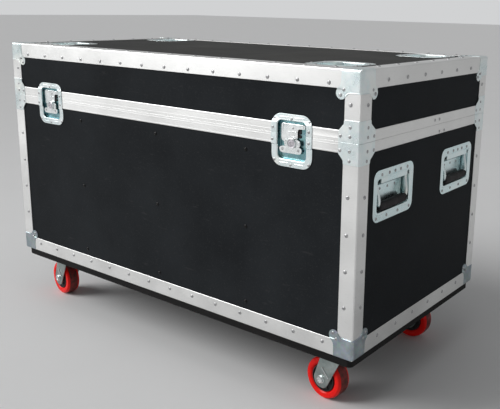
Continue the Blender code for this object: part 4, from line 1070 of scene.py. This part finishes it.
def cups():
    for label, (end_x, end_y) in CORNERS.items():
        name = f"castor_cup_{label}"
        place = on_face("top", end_x * CUP_X, end_y * CUP_Y)
        shape = bmesh.new()
        dish_surface(shape, CUP_FLANGE, CUP_CAVITY, HANDLE_TOP, CUP_FLOOR, place, 0.0160)
        finished(f"{name}_skin", shape, (ZINC, RECESS_SHADE_ZINC), "lid", [name], DISH_SHEET)
        trim = bmesh.new()
        top = place @ shift(0, 0, HANDLE_TOP)
        for turn in range(4):
            rivets(trim, top @ turned_by(0, 0, 90 * turn), mm((-24, 55.5), (24, 55.5)), SMALL_RIVET)
        pressed_ring(trim, CUP_CAVITY, 0.0040, top, 0.0008, 0.0004)
        pressed_ring(trim, CUP_CAVITY, -0.012, place @ shift(0, 0, CUP_FLOOR), 0.0018, 0.0006)
        finished(f"{name}_trim", trim, (ZINC, RIVET_METAL_AND_SHADE), "lid")


# Panels with divider tracks


def track(shape, face, u):
    """A divider channel up the inside of a panel."""
    low = CASE_LOW - PANEL_IN + GAP + 0.006
    high = LINE - CLOSING - 0.006
    inner = TRACK_HALF - TRACK_WALL
    under = TRACK_DEPTH - TRACK_WALL
    half = [(TRACK_HALF, 0), (TRACK_HALF, TRACK_DEPTH), (TRACK_HALF - TRACK_LIP, TRACK_DEPTH)]
    half += [(TRACK_HALF - TRACK_LIP, under), (inner, under), (inner, TRACK_WALL)]
    section = half + [(-a, b) for a, b in reversed(half)]
    place = on_face(face, u)
    loft(shape, [[place @ Vector((a, v, PANEL_IN - b)) for a, b in section] for v in (low, high)])


def screwed_panels():
    """The front and the back, with three screws through each divider channel."""
    low = CASE_LOW - PANEL_IN + GAP
    high = LINE - WEB - GAP
    half = WIDTH / 2 + PANEL_OUT
    grow = DISH_SHEET + GAP
    bottom = LINE + LATCH_CAVITY[2] - grow
    notched = [(-half, low), (half, low), (half, high)]
    for label in ("right", "left"):
        near = LATCH_U[label] + LATCH_CAVITY[1] + grow
        far = LATCH_U[label] + LATCH_CAVITY[0] - grow
        notched += [(near, high), (near, bottom), (far, bottom), (far, high)]
    notched.append((-half, high))
    plain = [(-half, low), (half, low), (half, high), (-half, high)]
    for face, outline in (("front", notched), ("back", plain)):
        name = f"{face}_panel"
        shape = bmesh.new()
        filled(shape, [outline], PANEL_OUT, on_face(face))
        board = PANEL_OUT - PANEL_IN
        finished(f"{name}_board", shape, LAMINATE, "case_body", [name], board)
        channels = bmesh.new()
        heads = bmesh.new()
        for u in TRACKS:
            track(channels, face, u)
            for v in TRACK_SCREWS:
                rivet(heads, on_face(face, u, CASE_LOW + v, PANEL_OUT), (0.0048, 0.0021))
                inside = on_face(face, u, CASE_LOW + v, PANEL_IN - TRACK_WALL)
                rivet(channels, inside @ turned_by(180, 0, 0), (0.0036, 0.0016))
        finished(f"{name}_tracks", channels, ALUMINIUM, "case_body")
        finished(f"{name}_screws", heads, BLACK_SCREW_AND_SHADE, "case_body")


# Rivets along the edging


def spread(count, reach):
    return [reach * (2 * index / (count - 1) - 1) for index in range(count)]


def edging_rivets():
    body = bmesh.new()
    lid = bmesh.new()
    along_x = spread(*ROW_X)
    along_y = spread(*ROW_Y)
    for face, half, places, drop in (
        ("front", WIDTH / 2, along_x, RIVET_DROP),
        ("back", WIDTH / 2, along_x, RIVET_DROP),
        ("left", DEPTH / 2, along_y, RIVET_IN),
        ("right", DEPTH / 2, along_y, RIVET_IN),
    ):
        for u in places:
            rivet(body, on_face(face, u, CASE_LOW + RIVET_IN))
            rivet(lid, on_face(face, u, CASE_TOP - drop))
        for u in (RIVET_IN - half, half - RIVET_IN):
            for v in POST_RIVETS:
                rivet(body, on_face(face, u, CASE_LOW + v))
            rivet(lid, on_face(face, u, CASE_LOW + LID_POST_RIVET))
    spots = [(u, end * (DEPTH / 2 - RIVET_IN)) for u in along_x for end in (-1, 1)]
    spots += [(end * (WIDTH / 2 - RIVET_IN), v) for v in along_y for end in (-1, 1)]
    rivets(lid, on_face("top"), spots, RIVET, 0)
    rivets(body, on_face("bottom"), spots, RIVET, 0)
    # The rivets that hold the studs of the lid stays
    for face, out in (("left", -1), ("right", 1)):
        place = on_face(face, 0, CASE_LOW, RIDGE / 3)
        rivets(lid, place, [(out * 0.019, 0.467), (out * 0.042, 0.467)], SMALL_RIVET, 0)
        rivets(body, place, [(out * 0.045, 0.4385), (out * 0.069, 0.4385)], SMALL_RIVET, 0)
    finished("body_edging_rivets", body, RIVET_METAL_AND_SHADE, "case_body")
    finished("lid_edging_rivets", lid, RIVET_METAL_AND_SHADE, "lid")


def brace_rivets():
    """Three rivets on each face of each brace, front and back alike and left and right alike."""
    for name, body, front, side in (
        ("lid", "lid", ((552, 30), (530, 12), (552, 12)), ((268, 29.5), (245, 10.5), (268, 10.5))),
        (
            "body", "case_body",
            ((530, -17), (552, -17), (552, -36)), ((245, -17.5), (268, -17.5), (269.5, -36.5)),
        ),
    ):
        shape = bmesh.new()
        for face, half in (("front", front), ("back", front), ("left", side), ("right", side)):
            spots = mm(*half, *[(-u, v) for u, v in half])
            rivets(shape, on_face(face, 0, LINE, OUTSIDE), spots, (0.0036, 0.0008), 0)
        finished(f"{name}_brace_rivets", shape, RIVET_METAL_AND_SHADE, body)


# Castors


def bolt_places(label, z):
    """The four bolts of a castor's mounting plate, at a level."""
    middle = JOINTS[f"castor_{label}_swivel"]
    for side_x in (-1, 1):
        for side_y in (-1, 1):
            yield shift(middle.x + side_x * CASTOR_BOLTS[0], middle.y + side_y * CASTOR_BOLTS[1], z)


def castor_board():
    shape = bmesh.new()
    low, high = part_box("castor_board")
    half_u = WIDTH / 2 - BOARD_INSET
    half_v = DEPTH / 2 - BOARD_INSET
    outline = rounded((-half_u, half_u, -half_v, half_v, 0.012), 0, 8)
    plate(shape, outline, high.z - low.z, shift(0, CASE_Y, low.z), 0.0016)
    finished("castor_board_slab", shape, BOARD, "case_body", ["castor_board"])

    heads = bmesh.new()
    for label in CASTORS:
        for spot in bolt_places(label, CASE_LOW - PANEL_IN):
            turned(heads, mm((8.5, -0.4), (8.3, 0.6), (6.8, 2.2), (4, 3.4), (1, 3.8)), spot, 18)
    finished("carriage_bolt_heads", heads, ZINC, "case_body")


def castor_plate(label, x, y):
    """The mounting plate with its swivel race and four bolts."""
    shape = bmesh.new()
    low = CASTOR_TOP - CASTOR_SHEET
    plate(shape, rounded(CASTOR_PLATE), CASTOR_SHEET, shift(x, y, low), 0.0006)
    race = mm(
        (29.0, 0.4), (28.4, -0.6), (28.0, -2.0), (28.0, -3.6), (27.4, -4.2), (26.2, -4.2), (25.8, -5.0),
        (26.2, -5.8), (27.6, -5.8), (28.0, -6.4), (27.8, -8.2), (26.8, -8.9), (8.3, -8.9), (8.3, 0.4),
    )
    turned(shape, race, shift(x, y, low), 40, "loop")
    for spot in bolt_places(label, low):
        down = spot @ turned_by(180, 0, 0)
        turned(shape, mm((8.2, -0.4), (8.2, 1.1), (7.8, 1.4)), down, 20)
        turned(shape, mm((6.4, 1.0), (6.5, 1.6), (6.5, 4.0), (5.8, 4.8), (4.0, 4.8)), down, 6)
        turned(shape, mm((3.0, 4.0), (3.0, 6.4), (2.5, 6.9)), down, 14)
    finished(f"castor_plate_{label}_race", shape, SHADED_DULL_ZINC, "case_body", [f"castor_plate_{label}"])


def leg_edge(z, angle, top):
    """Where an edge of a fork's leg runs at a level, along the castor's own heading: round the foot up to
    an angle, and then straight to the fork's top."""
    tangent = math.radians(angle)
    leave_z = WHEEL_RADIUS + FOOT_RADIUS * math.sin(tangent)
    if z > leave_z:
        leave = TRAIL + FOOT_RADIUS * math.cos(tangent)
        return leave + (top - leave) * (z - leave_z) / (FORK_TOP - leave_z)
    half = math.sqrt(max(FOOT_RADIUS**2 - (z - WHEEL_RADIUS) ** 2, 0))
    return TRAIL + math.copysign(half, math.cos(tangent))


def castor_fork(label, swivel):
    """A fork bent from plate, its kingpin, and the axle bolt with its nut."""
    angles = map(math.radians, (12, 26, 40, 55, 68, 80, 92, 104))
    levels = [WHEEL_RADIUS - FOOT_RADIUS * math.cos(angle) for angle in angles]
    side = [(FORK_HALF, z) for z in (*levels, 0.090, 0.108)]
    side += arc(FORK_HALF - FORK_BEND, FORK_TOP - FORK_BEND, FORK_BEND, 0, 90, 4)
    rows = []
    for y, z in side + [(-y, z) for y, z in reversed(side)]:
        back = leg_edge(z, 205, FORK_BACK)
        front = leg_edge(z, 375, FORK_FRONT)
        rows.append([swivel @ Vector((x, y, z)) for x in (back, (back + front) / 2, front)])
    shape = bmesh.new()
    strip(shape, rows)
    face_outwards(shape, swivel @ Vector((0.02, 0, 0.07)))
    body = f"castor_{label}_fork"
    name = f"castor_fork_{label}"
    # The fork takes the zinc darkened as painted shade
    finished(f"{name}_yoke", shape, SHADED_DULL_ZINC, body, [name], FORK_WALL, 0.0007)

    trim = bmesh.new()
    for side in (-1, 1):
        face = swivel @ shift(0, side * FORK_HALF) @ turned_by(90, 0, 0) @ Matrix.Diagonal((1, 1, -side, 1))
        bead(trim, face @ shift(0.0235, 0.0705) @ turned_by(0, 0, 46), 0.031, 0.0019, 0.0020)
        axle = face @ shift(TRAIL, WHEEL_RADIUS)
        turned(trim, mm((9.4, -0.4), (9.4, 1.2), (8.8, 1.6)), axle)
        nut = mm((8.8, 1.0), (8.8, 4.4), (7.8, 5.7), (5.6, 5.7), (5.0, 4.0))
        turned(trim, nut, axle @ turned_by(0, 0, 12), 6)
        if side < 0:
            turned(trim, mm((4.6, 4.0), (4.6, 5.4), (4.0, 5.9)), axle, 18)
    across = swivel @ shift(TRAIL, 0, WHEEL_RADIUS) @ turned_by(90, 0, 0)
    turned(trim, [(0.0055, -FORK_HALF), (0.0055, FORK_HALF)], across, 18)
    pin = mm((10.5, -2.0), (10.5, 0.6), (7.8, 1.0), (7.8, 12.2), (7.0, 12.4))
    turned(trim, pin, swivel @ shift(0, 0, FORK_TOP - FORK_WALL))
    finished(f"{name}_axle", trim, STEEL, body)


def castor_wheel(label, axle):
    """A red tyre with a worn tread darkened further as painted shade, round a near-black core whose black is
    painted shade, with ribs.
    """
    shape = bmesh.new()
    tyre = [(RIM_RADIUS, WHEEL_HALF - 0.0045), (RIM_RADIUS + 0.0035, WHEEL_HALF - 0.0005)]
    tyre += [(RIM_RADIUS + 0.0060, WHEEL_HALF), (SHOULDER, WHEEL_HALF)]
    for turn in map(math.radians, (20, 45, 70)):
        tyre.append((SHOULDER + 0.0045 * math.sin(turn), WHEEL_HALF - 0.0062 * (1 - math.cos(turn))))
    tyre.append((WHEEL_RADIUS - 0.0004, TREAD_HALF))
    core = [
        (RIM_RADIUS, WHEEL_HALF - 0.0045),
        (RIM_RADIUS - 0.0008, WHEEL_HALF - 0.0006),
        (RIM_RADIUS - 0.0028, WHEEL_HALF - 0.0002),
        (RIM_RADIUS - 0.0040, WHEEL_HALF - 0.0040),
        (0.0165, WHEEL_HALF - 0.0048),
        (0.0145, WHEEL_HALF - 0.0040),
        (0.0138, HUB_HALF - 0.0008),
        (0.0130, HUB_HALF),
        (0.0066, HUB_HALF),
        (0.0064, 0),
    ]
    for side in (-1, 1):
        for profile, material in ((tyre, 0), (core, 2)):
            turned(shape, [(radius, side * w) for radius, w in profile], axle, WHEEL_SIDES, "none", material)
    crown = [(WHEEL_RADIUS - 0.0004, -TREAD_HALF), (WHEEL_RADIUS, -TREAD_HALF / 2)]
    crown += [(radius, -w) for radius, w in reversed(crown)]
    turned(shape, crown, axle, WHEEL_SIDES, "none", 1)
    bmesh.ops.remove_doubles(shape, verts=shape.verts, dist=0.00001)
    made = len(shape.faces)
    for side in (-1, 1):
        for spoke in range(6):
            rib = axle @ turned_by(0, 0, 60 * spoke) @ shift(0.0225, 0, side * (WHEEL_HALF - 0.0046))
            bead(shape, rib @ Matrix.Diagonal((1, 1, side, 1)), 0.0125, 0.0016, 0.0026)
    shape.faces.ensure_lookup_table()
    for face in shape.faces[made:]:
        face.material_index = 2
    node = f"castor_wheel_{label}"
    finished(f"{node}_tyre", shape, (RED, TREAD_DIRT_AND_SHADE, CORE_SHADE), f"castor_{label}_wheel", [node])


def castors():
    castor_board()
    for label in CASTORS:
        x, y, _ = JOINTS[f"castor_{label}_swivel"]
        roll = JOINTS[f"castor_{label}_roll"]
        swivel = shift(x, y) @ turned_by(0, 0, math.degrees(math.atan2(roll.y - y, roll.x - x)))
        castor_plate(label, x, y)
        castor_fork(label, swivel)
        castor_wheel(label, swivel @ shift(TRAIL, 0, WHEEL_RADIUS) @ turned_by(90, 0, 0))


# Rear hinge and lid stays


def hinge():
    """Two long leaves with rolled knuckles in turn, on one pin."""
    pitch = HINGE_LENGTH / KNUCKLES
    half = HINGE_LENGTH / 2
    reach = pitch / 2 - GAP
    radius = KNUCKLE_RADIUS
    bush = [(radius - 0.0001, -0.0016), (radius - 0.0001, 0.0004), (radius - 0.0008, 0.0012), (0.002, 0.0012)]
    curl = [(0.0072, 0), (0.0072, SHEET), (0.0048, SHEET)]
    for angle in map(math.radians, (110, 140, 170, 200, 230, 260, 290, 320, 345)):
        curl.append((radius * math.sin(angle), radius - radius * math.cos(angle)))
    curl.append((0.0, 0.0))
    axis = on_face("back", 0, LINE, LEAF_LOW + radius)
    for side, name, body in ((-1, "hinge_body_leaf", "case_body"), (1, "hinge_lid_leaf", "lid")):
        shape = bmesh.new()
        place = on_face("back", 0, LINE, LEAF_LOW) @ Matrix.Diagonal((1, side, 1, 1))
        plate(shape, rounded((-half, half, LEAF_NEAR, LEAF_FAR, 0.0015), 0, 3), SHEET, place, 0.0003)
        for u in spread(12, half - 0.022):
            screw(shape, place @ shift(u, 0.0132, SHEET), 0.0034, 0.0012)
        for index in range(0 if side < 0 else 1, KNUCKLES, 2):
            middle = (index - (KNUCKLES - 1) / 2) * pitch
            loft(shape, [[place @ Vector((middle + end * reach, v, w)) for v, w in curl] for end in (-1, 1)])
            for end in (-1, 1):
                spot = axis @ shift(middle + end * (reach - 0.0012), 0)
                turned(shape, bush, spot @ turned_by(0, 90 * end, 0), 20)
        if side < 0:
            ends = half - pitch * 0.01
            pin = [(0.0012, -half - 0.0004), (0.002, -ends), (0.002, ends), (0.0012, half + 0.0004)]
            turned(shape, pin, axis @ turned_by(0, 90, 0), 16)
        finished(f"{name}_plate", shape, STEEL, body, [name])


def stays():
    """The folding arms inside each end, and the studs on the closing profile that they meet."""
    body_studs = bmesh.new()
    lid_studs = bmesh.new()
    waist = STAY_HALF - 0.0012
    outline = arc(0, 0, STAY_HALF, 90, 270, 10) + [(STAY_ARM * 0.5, -waist)]
    outline += arc(STAY_ARM, 0, STAY_HALF, -90, 90, 10) + [(STAY_ARM * 0.5, waist)]
    bore = arc(0, 0, 0.0033, 0, 337.5, 15)
    for label, end in (("left", -1), ("right", 1)):
        lower = JOINTS[f"stay_{label}_lower_turn"]
        elbow = JOINTS[f"stay_{label}_elbow_turn"]
        face = turned_by(90, 0, 90 * end)
        rise = math.asin((elbow.z - lower.z) / STAY_ARM)
        for name, start, forward in (("lower", lower, -end), ("upper", elbow, end)):
            angle = rise if forward > 0 else math.pi - rise
            place = Matrix.Translation(start) @ face @ Matrix.Rotation(angle, 4, "Z")
            node = f"stay_{label}_{name}_arm"
            shape = bmesh.new()
            filled(shape, [outline, bore], STAY_THICKNESS / 2, place)
            finished(f"{node}_bar", shape, STEEL, node, [node], STAY_THICKNESS, 0.0003)
        pivot = bmesh.new()
        turned(pivot, [(0.0030, -0.0010), (0.0030, 0.0030)], Matrix.Translation(elbow) @ face, 18)
        finished(f"stay_{label}_elbow_rivet", pivot, STEEL, f"stay_{label}_lower_arm")
        wall = end * (WIDTH / 2 + CLOSING_IN)
        for shape, z in ((body_studs, lower.z), (lid_studs, 2 * LINE - lower.z)):
            spot = shift(wall, lower.y, z) @ turned_by(0, -90 * end, 0)
            turned(shape, mm((3.0, -0.8), (3.0, 2.1), (2.6, 2.3)), spot, 18)
    finished("body_stay_studs", body_studs, STEEL, "case_body")
    finished("lid_stay_studs", lid_studs, STEEL, "lid")


# Stage


def build_stage():
    shape = bmesh.new()
    half = 40.0
    ends = ((-half, -half, 0), (half, -half, 0), (half, half, 0), (-half, half, 0))
    shape.faces.new([shape.verts.new(point) for point in ends])
    mesh = bpy.data.meshes.new("floor")
    shape.to_mesh(mesh)
    shape.free()
    paint = mottled("floor", 0.0, (3, 3), (0.80, 0.80, 0.80), (0.83, 0.83, 0.83), (0.8, 0.9), None, (0, 1))
    mesh.materials.append(paint)
    placed("floor", mesh)

    world = bpy.data.worlds.new("studio")
    bpy.context.scene.world = world
    world.use_nodes = True
    tree = world.node_tree
    background = tree.nodes["Background"]
    background.inputs["Color"].default_value = (0.86, 0.87, 0.88, 1.0)
    path = tree.nodes.new("ShaderNodeLightPath")
    # Dim for diffuse light, brighter in reflections and brightest behind the case
    glossy = tree.nodes.new("ShaderNodeMix")
    seen = tree.nodes.new("ShaderNodeMix")
    glossy.inputs[2].default_value = 0.24
    glossy.inputs[3].default_value = 0.46
    seen.inputs[3].default_value = 0.74
    tree.links.new(path.outputs["Is Glossy Ray"], glossy.inputs[0])
    tree.links.new(path.outputs["Is Camera Ray"], seen.inputs[0])
    tree.links.new(glossy.outputs[0], seen.inputs[2])
    tree.links.new(seen.outputs[0], background.inputs["Strength"])

    sun = bpy.data.lights.new("key", "SUN")
    sun.energy = 1.8
    sun.angle = math.radians(32)
    placed("key", sun).rotation_euler = Vector((-0.68, -0.58, 0.62)).to_track_quat("Z", "Y").to_euler()
    for name, place, size, power in (
        ("front", Vector((-2.6, -3.4, 1.6)), 2.2, 31),
        ("top", Vector((0.4, -0.6, 3.2)), 1.6, 9),
    ):
        light = bpy.data.lights.new(name, "AREA")
        light.size = size
        light.energy = power
        lamp = placed(name, light)
        lamp.visible_camera = False
        lamp.location = place
        lamp.rotation_euler = (Vector((0, 0, 0.4)) - place).to_track_quat("-Z", "Y").to_euler()


def build_camera():
    """The photograph's own viewpoint, fitted to the case's corners in a frame of 500 x 409."""
    wide, high = 500, 409
    focal = 719.45
    centre = (303.16, 179.62)
    yaw, pitch, roll = (math.radians(angle) for angle in (-36.339, -13.586, 1.098))
    forward = Vector((math.sin(yaw) * math.cos(pitch), math.cos(yaw) * math.cos(pitch), math.sin(pitch)))
    level_right = Vector((math.cos(yaw), -math.sin(yaw), 0))
    level_up = level_right.cross(forward)
    right = level_right * math.cos(roll) + level_up * math.sin(roll)
    up = level_up * math.cos(roll) - level_right * math.sin(roll)
    data = bpy.data.cameras.new("camera")
    data.sensor_width = 36
    data.lens = focal / wide * 36
    data.shift_x = (wide / 2 - centre[0]) / wide
    data.shift_y = (centre[1] - high / 2) / wide
    camera = placed("camera", data)
    turn = Matrix((right, up, -forward)).transposed().to_4x4()
    camera.matrix_world = shift(1.28862, CASE_Y - 1.44598, CASE_LOW + 0.71117) @ turn
    bpy.context.scene.camera = camera
    bpy.context.scene.view_settings.view_transform = "Standard"


def paint_cad_nodes():
    """Give the CAD nodes that stay their materials, by the record's slots."""
    paints = {
        "black_laminate": LAMINATE,
        "board_paint": BOARD,
        "aluminium": ALUMINIUM,
        "zinc": ZINC,
        "steel": STEEL,
        "grip_rubber": GRIP,
        "red_polyurethane": RED,
    }
    for part in frame["record"]["subparts"]:
        materials = frame["nodes"][part["node"]].data.materials
        materials.clear()
        dusty = part["node"] == "lid_top_panel"
        materials.append(DUSTY_LAMINATE if dusty else paints[part["material_slot"]])


edging()
edging_rivets()
corners()
braces()
brace_rivets()
screwed_panels()
latches()
handles()
cups()
castors()
hinge()
stays()
paint_cad_nodes()
build_stage()
build_camera()
